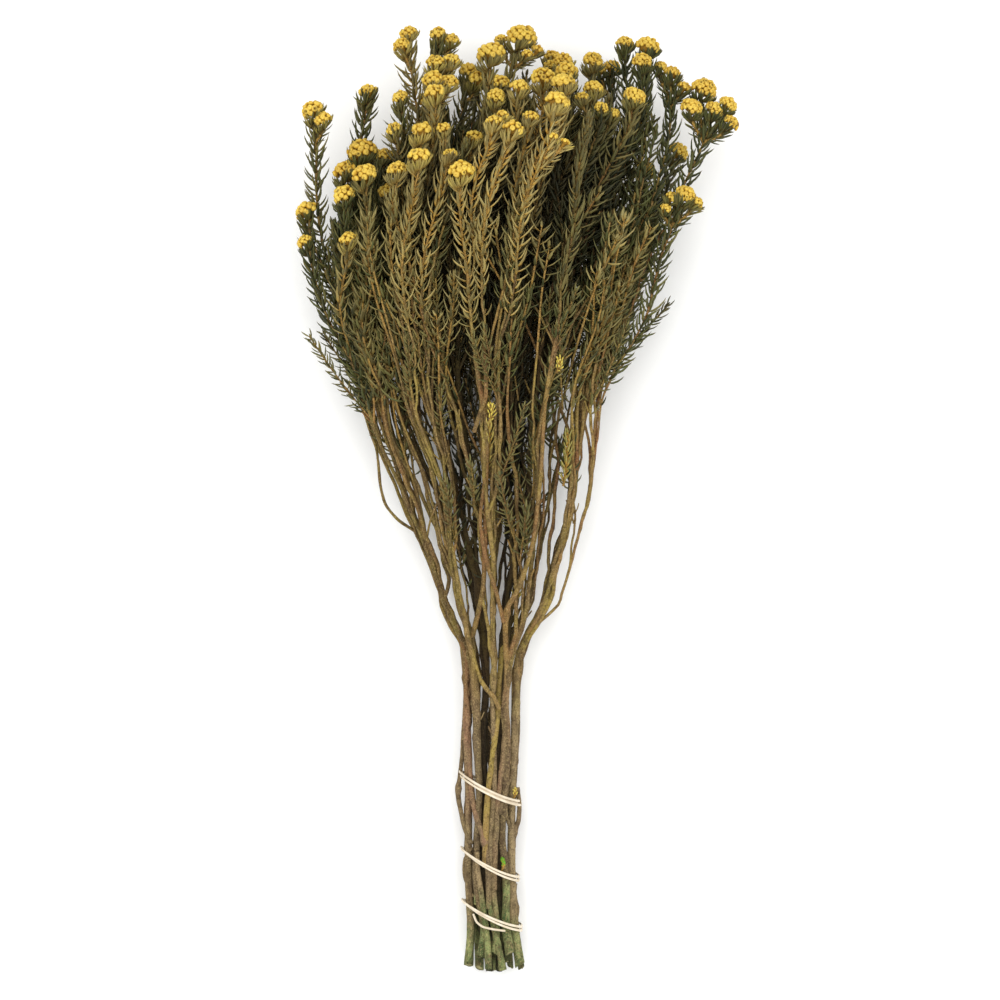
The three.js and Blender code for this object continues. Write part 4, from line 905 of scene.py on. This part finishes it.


# Twigs and stems that stand out: across and along at each bend, radius at both ends, how far out
# they lie (1 is the ring of tied stems), whether each end meets the nearest branch; some have a knot, warm
# bark or moss.
looseTwigs = [
    {"points": [(-50, 234), (-56, 240), (-60.5, 248), (-62, 258), (-62.5, 270), (-63.5, 278), (-67, 286),
                (-70, 294)],
     "radius": (0.85, 0.7), "out": 0.4, "meets": (1, 1)},
    {"points": [(-38, 226), (-34.5, 240), (-31, 256)], "radius": (0.6, 0.5), "out": 0.8, "meets": (1, 1)},
    {"points": [(-12.4, 68), (-15.3, 75), (-17.2, 81), (-19.6, 93), (-19.6, 100), (-18.5, 112), (-18, 130),
                (-18, 149), (-21, 172)], "radius": (1.5, 0.9), "out": 0.9, "meets": (0, 1), "knot": 98},
    {"points": [(-12, 66), (-16, 60), (-16.6, 54), (-15.8, 49), (-13.6, 44), (-11, 40)], "radius": (0.8, 0.7),
     "out": 0.9, "meets": (0, 0)},
    {"points": [(-3.2, 34), (-3.4, 50), (-4.4, 61), (-6, 72), (-9.4, 81), (-12, 91), (-13.6, 106),
                (-14.6, 124), (-16.4, 150), (-16, 168), (-12.6, 185), (-9.4, 204), (-9.2, 228), (-9.8, 262),
                (-11, 290), (-15, 306), (-20, 326)],
     "radius": (1.6, 1.15), "out": 1.08, "meets": (0, 1), "warm": 0.9, "knot": 70},
    {"points": [(-10.8, 286), (-7.4, 297), (-4.8, 304), (-4.8, 316), (-6, 334)], "radius": (1.15, 0.9),
     "out": 1.06, "meets": (0, 1), "warm": 0.6},
    {"points": [(3.6, 140), (5, 160), (4.6, 182), (6, 194), (11.4, 204), (17.9, 226), (21.4, 262),
                (22.6, 304), (27, 340)],
     "radius": (1.7, 0.9), "out": 1.06, "meets": (1, 1), "tone": 0.7, "knot": 191, "warm": 0.5},
    {"points": [(4.6, 186), (0.6, 202), (-5.4, 218), (-11.4, 240), (-14, 262)], "radius": (1.25, 0.9),
     "out": 1.06, "meets": (0, 1), "warm": 0.7},
    {"points": [(-5.4, 56), (-4.7, 78), (-3.6, 95), (-1.6, 112), (0.8, 128), (2.4, 141), (3, 153), (6, 176)],
     "radius": (1.5, 1.45), "out": 1.1, "meets": (0, 1), "knot": 141, "tone": 1, "aged": 0},
    {"points": [(2.2, 140), (-0.6, 146.5), (-4, 150), (-8, 156), (-12, 168), (-17, 186)],
     "radius": (1.2, 1.05), "out": 1.12, "meets": (0, 1), "tone": 0.9, "aged": 0},
    {"points": [(-0.6, 44), (-0.2, 60), (0.6, 76), (1.6, 94), (3.2, 112), (3.8, 132)], "radius": (1.7, 1.4),
     "out": 1.0, "meets": (0, 1), "warm": 0.7},
    {"points": [(2.4, 84), (4, 91), (6.6, 100), (10.4, 111), (11.8, 128), (11.6, 150), (13.5, 172)],
     "radius": (1.35, 1.35), "out": 1.08, "meets": (0, 1), "knot": 112},
    {"points": [(9.6, 66), (10, 74), (12.4, 80), (13, 88), (12, 98)], "radius": (1.5, 1.1), "out": 1.06,
     "meets": (0, 0), "knot": 74},
    {"points": [(9.4, 70), (9, 75), (7, 80), (5.8, 87), (5.4, 95)], "radius": (1.1, 0.8), "out": 1.1,
     "meets": (0, 0)},
    {"points": [(-10.4, 36), (-10, 49), (-10.2, 62)], "radius": (0.8, 0.55), "out": 1.12, "meets": (0, 0),
     "green": 90},
    {"points": [(-3.2, 2.2), (-3.8, 15), (-5, 27), (-7, 41), (-9, 54), (-9.4, 64)], "radius": (1.9, 1.4),
     "out": 1.04, "meets": (0, 0), "green": 50, "tone": 1},
    {"points": [(4.2, 1.6), (2.2, 13), (-0.5, 24), (-2.6, 34), (-3.4, 39)], "radius": (2.0, 1.2), "out": 1.08,
     "meets": (0, 0), "green": 60},
]
# Yellow dead tips and a green bud: across, along and level where they start and end, needle length, yellow
# and green.
tufts = [
    ((-5, 258, 0.6), (-3, 291, 0.96), 7, 0.35, 0), ((-4, 214, 0.6), (-5, 224, 0.75), 4, 0.9, 0),
    ((32.4, 317, 0.9), (33.4, 324, 1.0), 4, 1, 0), ((-3, 291, 0.96), (-2.2, 300, 1.05), 4.4, 1, 0),
    ((9.6, 92, 0.62), (10.4, 97, 0.7), 2.4, 1, 0), ((3.6, 54, 0.9), (3.9, 60, 1.0), 3.2, 0, 1),
    ((36, 258, 0.5), (38, 286, 0.62), 7, 0.12, 0.12), ((10, 196, 0.6), (12, 206, 0.7), 5, 0.4, 0),
]


# The nearest point of wood at the same place along the bunch, depth counted at 0.4.
def nearestWood(spot):
    rows = [b["line"](spot[1])[0] for b in branches if b["start"] < spot[1] < b["tip"]["at"]]
    return min(rows, key=lambda p: math.hypot(p[0] - spot[0], 0.4 * (p[2] - spot[2])))


# A loose twig: its level above the middle is out * sqrt(1 - u^2) of the half depth, and an end that meets
# the wood draws the rest along by the cube of its share.
def looseTwig(twig):
    spots = []
    for x, at in twig["points"]:
        width, depth, midX, midZ = bundle(at)
        u = (x - midX) / width
        spots.append((x, at, midZ + depth * twig["out"] * math.sqrt(max(0.08, 1 - u * u))))
    spots = np.array(spots)
    run = np.linspace(0, 1, len(spots))
    for end, share in ((0, 1 - run), (-1, run)):
        if twig["meets"][end]:
            spots = spots + (nearestWood(spots[end]) - spots[end]) * share[:, None] ** 3
    t = np.linspace(0, 1, 10 * len(spots))
    path = follow(np.column_stack([run, spots]), t)
    radius = mix(twig["radius"][0], twig["radius"][1], t)
    if "knot" in twig:
        radius *= 1 + 0.5 * np.exp(-((path[:, 1] - twig["knot"]) / 2.6) ** 2)
    sides = 10
    skin = path[:, None] + radius[:, None, None] * around(roundAngles(sides), *flat)
    shell = radius[:, None] * (1 + 0.1 * grain(skin, 7, 51) + 0.06 * grain(skin, 2.2, 52))
    moss = smooth((twig.get("green", 40) + 5 * grain(skin, 6, 17) - path[:, 1][:, None]) / 16)
    aged = twig.get("aged", 1) * (1 - smooth((path[:, 1] - 118) / 62))
    values = {"warm": twig.get("warm", 0.15), "tone": twig.get("tone", 0.4), "moss": moss, "scar": 0.1,
              "aged": aged}
    return tube(path, shell, sides, values, endBulge=0.2)


# A short golden stem with close needles round its tip, bent by a sine of its length.
def tuft(start, end, long, yellow, green, rng):
    low, high = (np.array([x, at, place(0, level, at)[2]]) for x, at, level in (start, end))
    t = np.linspace(0, 1, 8)[:, None]
    path = mix(low, high, t) + np.sin(3 * t) * np.array([0.8, 0, 0.5])
    values = {"young": 1.0, "tone": 0.8}
    tilts = (0.9 - 0.5 * green, 0.4 - 0.3 * green)
    leaves = twigNeedles(path, 0.5, 0.8 if long > 5 else 0.5, long, 0.0, 1.0, rng, tilts, yellow)
    leaves["values"]["fresh"] = np.full(len(leaves["verts"]), float(green))
    return tube(path, np.linspace(0.7, 0.4, 8), 6, values), leaves


# The colours, as seen in a picture, turned into the linear values that the shader takes.
def ink(*colour):
    return tuple(((c / 255 + 0.055) / 1.055) ** 2.4 if c > 10 else c / 255 / 12.92 for c in colour) + (1,)


class finish:
    # A material with its node tree, and short ways to add nodes and links.
    def __init__(self, name, roughness, specular):
        self.material = bpy.data.materials.new(name)
        self.material.use_nodes = True
        self.tree = self.material.node_tree
        self.shader = self.tree.nodes["Principled BSDF"]
        self.shader.inputs["Roughness"].default_value = roughness
        self.shader.inputs["Specular IOR Level"].default_value = specular

    def node(self, kind, inputs={}, **settings):
        made = self.tree.nodes.new("ShaderNode" + kind)
        for key, value in settings.items():
            setattr(made, key, value)
        for key, value in inputs.items():
            self.feed(value, made.inputs[key])
        return made

    def feed(self, value, socket):
        if isinstance(value, bpy.types.NodeSocket):
            self.tree.links.new(value, socket)
        else:
            socket.default_value = value

    def value(self, name):
        return self.node("Attribute", attribute_name=name).outputs["Fac"]

    def blend(self, share, first, second):
        made = self.node("Mix", data_type="RGBA")
        self.feed(share, made.inputs[0])
        self.feed(first, made.inputs[6])
        self.feed(second, made.inputs[7])
        return made.outputs[2]

    def sums(self, way, first, second):
        made = self.node("Math", operation=way)
        for socket, value in zip(made.inputs, (first, second)):
            self.feed(value, socket)
        return made.outputs[0]

    # Between two colours, by an attribute.
    def range(self, name, first, second):
        return self.blend(self.value(name), ink(*first), ink(*second))

    # Lays a colour over another, by a value or an attribute times a share.
    def lay(self, base, value, share, colour):
        value = self.value(value) if isinstance(value, str) else value
        return self.blend(self.sums("MULTIPLY", value, share), base, colour)

    # Noise of a given size in millimetres, read at Object coordinates and drawn out along the bunch.
    def noise(self, size, detail=3.0, drawn=1.0):
        spot = self.node("TexCoord").outputs["Object"]
        place = self.node("Mapping", {"Vector": spot, "Scale": (1, 1 / drawn, 1)})
        return self.node("TexNoise", {"Vector": place.outputs[0], "Scale": 1000 / size, "Detail": detail,
                                      "Roughness": 0.6}).outputs["Fac"]

    # The part of a noise between low and high, stretched to the range from 0 to 1.
    def patches(self, low, high, *noise):
        return self.stretch(self.noise(*noise), low, high)

    # Stretches the part of a value between low and high to the whole range from 0 to 1.
    def stretch(self, value, low, high):
        return self.node("MapRange", {"Value": value, "From Min": low, "From Max": high}).outputs[0]

    def bump(self, height, distance, strength=1.0):
        made = self.node("Bump", {"Height": height, "Distance": distance / 1000, "Strength": strength})
        self.feed(made.outputs[0], self.shader.inputs["Normal"])

    def colour(self, value):
        self.feed(value, self.shader.inputs["Base Color"])


def barkFinish():
    look = finish("bark", 0.85, 0.15)
    flecks, fine = look.noise(0.9, 2, 1.0), look.noise(0.5, 2, 2.0)
    base = look.blend(look.patches(0.42, 0.6, 8, 3, 2.5), look.range("tone", (80, 62, 40), (150, 124, 74)),
                      look.range("tone", (104, 90, 46), (154, 134, 66)))  # taupe with olive patches
    base = look.lay(base, "aged", 0.75, look.range("tone", (80, 67, 52), (150, 132, 103)))
    red = look.range("aged", (136, 92, 57), (152, 112, 88))
    base = look.lay(base, "warm", look.patches(0.42, 0.6, 20, 2, 3), red)
    base = look.lay(base, "young", 0.85, ink(174, 134, 62))
    green = look.blend(look.patches(0.35, 0.65, 5, 3, 2), ink(64, 82, 47), ink(134, 143, 90))
    base = look.lay(base, "moss", look.patches(0.22, 0.46, 7, 3), green)
    base = look.lay(base, look.stretch(flecks, 0.55, 0.66), 0.75, ink(48, 34, 22))
    base = look.lay(base, look.stretch(fine, 0.5, 0.7), 0.6, ink(192, 168, 116))
    base = look.lay(base, "scar", 0.45, ink(66, 46, 30))
    base = look.lay(base, look.patches(0.5, 0.64, 3, 3, 1.6), 0.5, ink(58, 44, 30))
    # painted shade: the bark darkens deep in the bunch and on its lower side
    base = look.lay(base, "sunk", 0.8, ink(20, 14, 8))
    look.colour(look.blend(look.value("cut"), base, ink(176, 166, 116)))
    look.bump(look.sums("ADD", look.sums("MULTIPLY", flecks, 0.6), look.sums("MULTIPLY", fine, 0.4)), 1.2)
    return look.material


def needleFinish():
    look = finish("needle leaf", 0.6, 0.25)
    leaf = look.blend(look.value("dark"), look.range("tone", (90, 76, 36), (158, 138, 78)),
                      look.range("tone", (34, 38, 17), (78, 80, 38)))  # khaki to deep green
    pale = look.range("dark", (202, 186, 124), (98, 100, 56))
    leaf = look.lay(leaf, look.sums("POWER", look.value("margin"), 3.0), 0.66, pale)
    leaf = look.lay(leaf, "ripe", look.stretch(look.value("rise"), 0.1, 0.7), ink(214, 192, 84))
    leaf = look.blend(look.value("fresh"), leaf, ink(104, 158, 40))
    golden = look.range("dark", (208, 160, 64), (120, 92, 40))
    leaf = look.lay(leaf, look.stretch(look.value("rise"), 0.42, 0.05), look.value("gold"), golden)
    leaf = look.lay(leaf, look.stretch(look.value("rise"), 0.8, 1.0), 0.4, ink(150, 118, 62))
    # painted shade: needles darken to near black deep in the bunch and on its lower side
    look.colour(look.lay(leaf, "sunk", 0.82, ink(9, 9, 5)))
    look.bump(look.noise(0.5, 2, 3), 0.15, 0.6)
    return look.material


def floretFinish():
    look = finish("yellow floret", 0.8, 0.15)
    felt = look.noise(0.6, 3)
    yellow = look.range("tone", (194, 152, 46), (230, 198, 78))
    yellow = look.blend(look.stretch(look.value("lit"), 0.7, 0.0), yellow, ink(156, 112, 33))
    yellow = look.lay(yellow, look.stretch(look.value("lit"), 0.6, 1.0), 0.4, ink(244, 220, 118))
    yellow = look.lay(yellow, look.stretch(felt, 0.45, 0.7), 0.3, ink(176, 124, 26))
    # dark brown in the hollow: partly the open floret's dark centre, partly painted shade
    yellow = look.blend(look.value("deep"), yellow, ink(78, 42, 14))
    # the ball and funnel inside the head: a darker yellow-brown, painted shade between the florets
    yellow = look.blend(look.value("core"), yellow, ink(142, 106, 38))
    # painted shade: heads deep in the bunch turn a darker brown-yellow
    look.colour(look.lay(yellow, "sunk", 0.6, ink(60, 40, 12)))
    look.bump(felt, 0.4, 0.9)
    return look.material


def rubberFinish():
    look = finish("cream rubber", 0.5, 0.4)
    shade = look.blend(look.stretch(look.noise(3, 2), 0.35, 0.65), ink(212, 197, 170), ink(228, 216, 194))
    look.colour(look.blend(look.value("fold"), shade, ink(170, 146, 108)))
    look.bump(look.noise(0.4, 2), 0.08, 0.5)
    return look.material


barkLook, needleLook, floretLook, rubberLook = barkFinish(), needleFinish(), floretFinish(), rubberFinish()
print("finishes made")

for trunk in trunks:
    stem, n = trunk["stem"], trunk["stem"]["index"]
    stem.update({"tone": chance(n, 41), "warm": 0.75 * (chance(n, 42) > 0.55),
                 "girth": mix(0.62, 0.8, chance(n, 45)), "green": 40 + 8 * chance(n, 32)})
# The five stems on the upper face, from the right to the left: number, tone, warmth, girth, end of the moss.
upperStems = [(4, 0.85, 0.1, 0.84, 34), (5, 0.15, 0.5, 0.78, 58), (6, 0.5, 0.2, 0.64, 42),
              (7, 0.25, 0.1, 0.72, 38), (8, 0.6, 0.8, 0.7, 36)]
for n, tone, warm, girth, green in upperStems:
    trunks[n]["stem"].update({"tone": tone, "warm": warm, "girth": girth, "green": green})
for trunk in trunks:
    trunk["stem"]["crook"] = crookOf(trunk["stem"])
for branch in branches:  # khaki on the open side of the middle, dark green on the rim; tips low in the bunch darker still, which is painted shade
    tip = branch["tip"]
    within = smooth((0.62 - tip["v"]) / 0.5)
    branch["dark"] = (0.08 + 0.42 * smooth((abs(tip["u"] + 0.14) - 0.34) / 0.3) + 0.34 * within
                      + 0.25 * smooth((tip["u"] - 0.3) / 0.2) + 0.7 * (chance(tip["index"], 43) - 0.42))
    branch["tone"], branch["warm"] = chance(tip["index"], 47), 1.1 * chance(tip["index"], 48) ** 2
for number, head in enumerate(heads):
    tip = head["branch"]["tip"]
    # heads on tips low in the bunch get a darker yellow, which is painted shade
    head["tone"] = 0.3 * (chance(number, 44) - 0.5) - 0.18 * (tip["v"] < 0.1)
    head["ripe"] = 0.8 * chance(number, 46) * (1 - 0.6 * head["branch"]["dark"])
    head["open"] = np.clip(0.35 + chance(number, 49) - 0.6 * (tip["v"] > 0.5) - 0.5 * (tip["v"] > 0.76), 0, 1)
    outward = np.array([0.45 * tip["u"], 0, mix(0.08, 0.45, head["open"]) * tip["v"]])
    turned = head["facing"] - head["branch"]["heads"][0]["facing"]
    head["aim"] = unit(head["forward"] + outward + 0.6 * turned)


# Bends a shoot sideways between its last fork and its tip: a squared half sine along it.
def bendShoot(branch, number):
    line, tip = branch["line"], branch["tip"]["at"]
    low = max([branch["start"], 130] + [child["start"] for child in branch["made"]]) + 8
    way = np.array([2 * chance(number, 52) - 1, 0, chance(number, 53) - 0.5]) * 0.034 * max(0, tip - low)

    def bent(at):
        at = np.atleast_1d(np.asarray(at, float))
        return line(at) + np.sin(np.pi * np.clip((at - low) / (tip - low), 0, 1))[:, None] ** 2 * way

    branch["line"] = bent


for number, branch in enumerate(branches):
    bendShoot(branch, number)
looseStem = 8  # the stem whose pieces carry the loose twigs and tufts
fill = growFill()
for number, trunk in enumerate(trunks):
    name = "stem_%02d" % (number + 1)
    wood, leaves, fused = [], [], []
    for branch in withForks(trunk) + [b for b in fill if b["stem"] is trunk["stem"]]:
        rng = np.random.default_rng(500 + branch["tip"]["index"])
        wood.append(branchWood(branch, rng))
        leaves.append(shootNeedles(branch, rng))
        twigs, twigLeaves = thinTwigs(branch, rng)
        wood += twigs
        leaves += twigLeaves
        for head in branch["heads"]:
            foot = headFoot(head)
            below = np.vstack([foot, branch["line"](foot[1] - np.arange(2, 18, 2))])
            if head is not branch["heads"][0]:
                bow, bowLeaves, below = sideBranch(branch, head, rng)
                wood.append(bow)
                leaves.append(bowLeaves)
            leaves.append(cupNeedles(head, below, rng))
            if not head["own"]:
                fused += floretHead(head, rng)
    if number == looseStem:
        rng = np.random.default_rng(31)
        wood += [looseTwig(twig) for twig in looseTwigs]
        for low, high, long, yellow, green in tufts:
            twig, tips = tuft(low, high, long, yellow, green, rng)
            wood.append(twig)
            leaves.append(tips)
    layPiece(name + "_wood", wood, barkLook, [name])
    layPiece(name + "_needles", leaves, needleLook)
    if fused:
        layPiece(name + "_florets", fused, floretLook)
print("stems and needles made")

for number, group in enumerate(bunches[:headShape["nodes"]]):
    name = "heads_%02d" % (number + 1)
    rng = np.random.default_rng(900 + number)
    florets = [floret for head in group for floret in floretHead(head, rng)]
    layPiece(name + "_florets", florets, floretLook, [name])
print("heads made")

band = {"wide": 1.3, "thick": 1.0, "steps": 18, "fine": 5, "gap": 0.25, "sides": 10, "sag": 2.6,
        "end": [(-11.4, 31), (-9.6, 27), (-6.3, 24.6), (-1.1, 23.4), (5.4, 22.4)], "endOut": 3.6}
bandSwing = {3: (1.22, 0.72), 2: (1.04, 0.56)}  # sideways swing and lift of the turns
bands = [("band_upper", 98, -0.5, 3), ("band_middle", 58, -0.52, 2), ("band_lower", 31, -0.46, 2)]


# How far the tied stems reach from the middle towards each angle, on the slanted cut of a band.
def reachOfStems(at, slant, angles):
    middle = place(0, 0, at)
    spots, sizes = [], []
    for branch in branches:
        if branch["start"] < at + 12:
            p = branch["line"](at)[0]
            p = branch["line"](max(branch["start"], at + slant * (p[0] - middle[0])))[0]
            spots.append((p[0] - middle[0], p[2] - middle[2]))
            sizes.append(woodRadius(branch, p[1])[0])
    spots, sizes = np.array(spots), np.array(sizes)
    turn = angles[:, None] + (np.arange(-8, 9) * np.pi / 20)[None]
    wall = (np.stack([np.cos(turn), np.sin(turn)], -1) @ spots.T + sizes).max(-1)
    return (wall / np.cos(turn - angles[:, None])).min(1)


# A rubber band: a closed path of several turns that ride over each other once, with a rounded strap section.
def bandStrap(at, slant, turns):
    middle = place(0, 0, at)
    count = band["steps"] * turns
    angle = 2 * np.pi * np.arange(count) / band["steps"]
    sideways, lift = bandSwing[turns]
    reach = reachOfStems(at, slant, angle % (2 * np.pi)) + band["gap"] + band["thick"] / 2
    knots = np.stack([reach + lift * (1 + np.sin(angle / turns)), sideways * np.cos(angle / turns)], 1)
    fine = np.arange(count * band["fine"]) / band["fine"]
    i, t = fine.astype(int), (fine % 1)[:, None]
    a, b, c, d = (knots[(i + s) % count] for s in (-1, 0, 1, 2))
    curve = 0.5 * (2 * b + (c - a) * t + (2 * a - 5 * b + 4 * c - d) * t**2 + (3 * b - a - 3 * c + d) * t**3)
    turn = 2 * np.pi * fine / band["steps"]
    out = around(turn, *flat)
    section = roundAngles(band["sides"])
    across = np.sign(np.cos(section)) * np.abs(np.cos(section)) ** 0.6 * band["wide"] / 2
    up = np.sign(np.sin(section)) * np.abs(np.sin(section)) ** 0.7 * band["thick"] / 2
    reachFine = curve[:, 0][:, None] + up[None]
    verts = middle + out[:, None] * reachFine[..., None]
    verts[..., 1] = at + slant * (reachFine * np.cos(turn)[:, None]) + curve[:, 1][:, None] + across[None]
    verts[..., 1] -= band["sag"] * np.maximum(0, np.sin(turn))[:, None]
    verts[..., 2] = np.maximum(verts[..., 2], 0.02)
    n, s = len(fine), band["sides"]
    k, j = np.arange(n)[:, None], np.arange(s)[None]
    nextK, nextJ = (k + 1) % n, (j + 1) % s
    quads = np.stack([k * s + j, nextK * s + j, nextK * s + nextJ, k * s + nextJ], -1)
    fold = 0.3 * smooth(grain(verts.reshape(-1, 3), 5, 61))
    return part(verts.reshape(-1, 3), quads, np.zeros((0, 3), int), fold=fold)


# The loose end of the lowest band lies over the stems, just below the band.
def looseStrand():
    rows = []
    for k, (x, at) in enumerate(band["end"]):
        width, depth, midX, midZ = bundle(at)
        level = math.sqrt(1 - ((x - midX) / width) ** 2)
        rows.append((k, x, at, midZ + (depth + band["endOut"]) * level))
    path = follow(np.array(rows), np.linspace(0, len(rows) - 1, 40))
    return tube(path, np.full(40, 0.6), 8, {"fold": 0.1})


for name, at, slant, turns in bands:
    straps = [bandStrap(at, slant, turns)] + [looseStrand()] * (name == "band_lower")
    layPiece(name + "_strap", straps, rubberLook, [name])
print("bands made:", len(faceCount), "pieces,", sum(faceCount), "triangles, most", max(faceCount))

# Floor, light and camera: the bunch lies down and is seen from straight above, its heads to the top.
studio = {"floor": 1.6, "cameraUp": 3.6, "lens": 242.9, "middle": (-0.0089, 0.0005), "world": 0.9,
          "lights": (("key", (-0.4, 0.45, 2.0), 1.8, 27), ("fill", (1.0, -0.3, 1.6), 1.7, 10)),
          "aimHeight": 0.04}


# A pale floor, a white world, two square lights turned to the bunch, and the camera.
def makeStudio():
    mesh = bpy.data.meshes.new("floor")
    s = studio["floor"]
    mesh.from_pydata([(-s, -s, 0), (s, -s, 0), (s, s, 0), (-s, s, 0)], [], [(0, 1, 2, 3)])
    floor = bpy.data.objects.new("floor", mesh)
    bpy.context.scene.collection.objects.link(floor)
    look = finish("pale floor", 0.9, 0.1)
    look.colour(ink(252, 252, 250))
    mesh.materials.append(look.material)
    scene = bpy.context.scene
    world = bpy.data.worlds.new("soft white")
    world.use_nodes = True
    world.node_tree.nodes["Background"].inputs[0].default_value = (1, 1, 1, 1)
    world.node_tree.nodes["Background"].inputs[1].default_value = studio["world"]
    scene.world = world
    for name, spot, size, power in studio["lights"]:
        data = bpy.data.lights.new(name, "AREA")
        data.size, data.energy = size, power
        lamp = bpy.data.objects.new(name, data)
        lamp.location = spot
        aim = np.array([0, 0, studio["aimHeight"]]) - np.array(spot)
        lean, turn = math.acos(-aim[2] / np.linalg.norm(aim)), math.atan2(aim[1], aim[0]) - math.pi / 2
        lamp.rotation_euler = (lean, 0, turn)
        scene.collection.objects.link(lamp)
    data = bpy.data.cameras.new("camera")
    data.lens, data.sensor_width, data.clip_end = studio["lens"], 36, 10
    camera = bpy.data.objects.new("camera", data)
    camera.location = studio["middle"] + (studio["cameraUp"],)
    scene.collection.objects.link(camera)
    scene.camera = camera
    scene.view_settings.view_transform = "Standard"


makeStudio()
print("studio made")
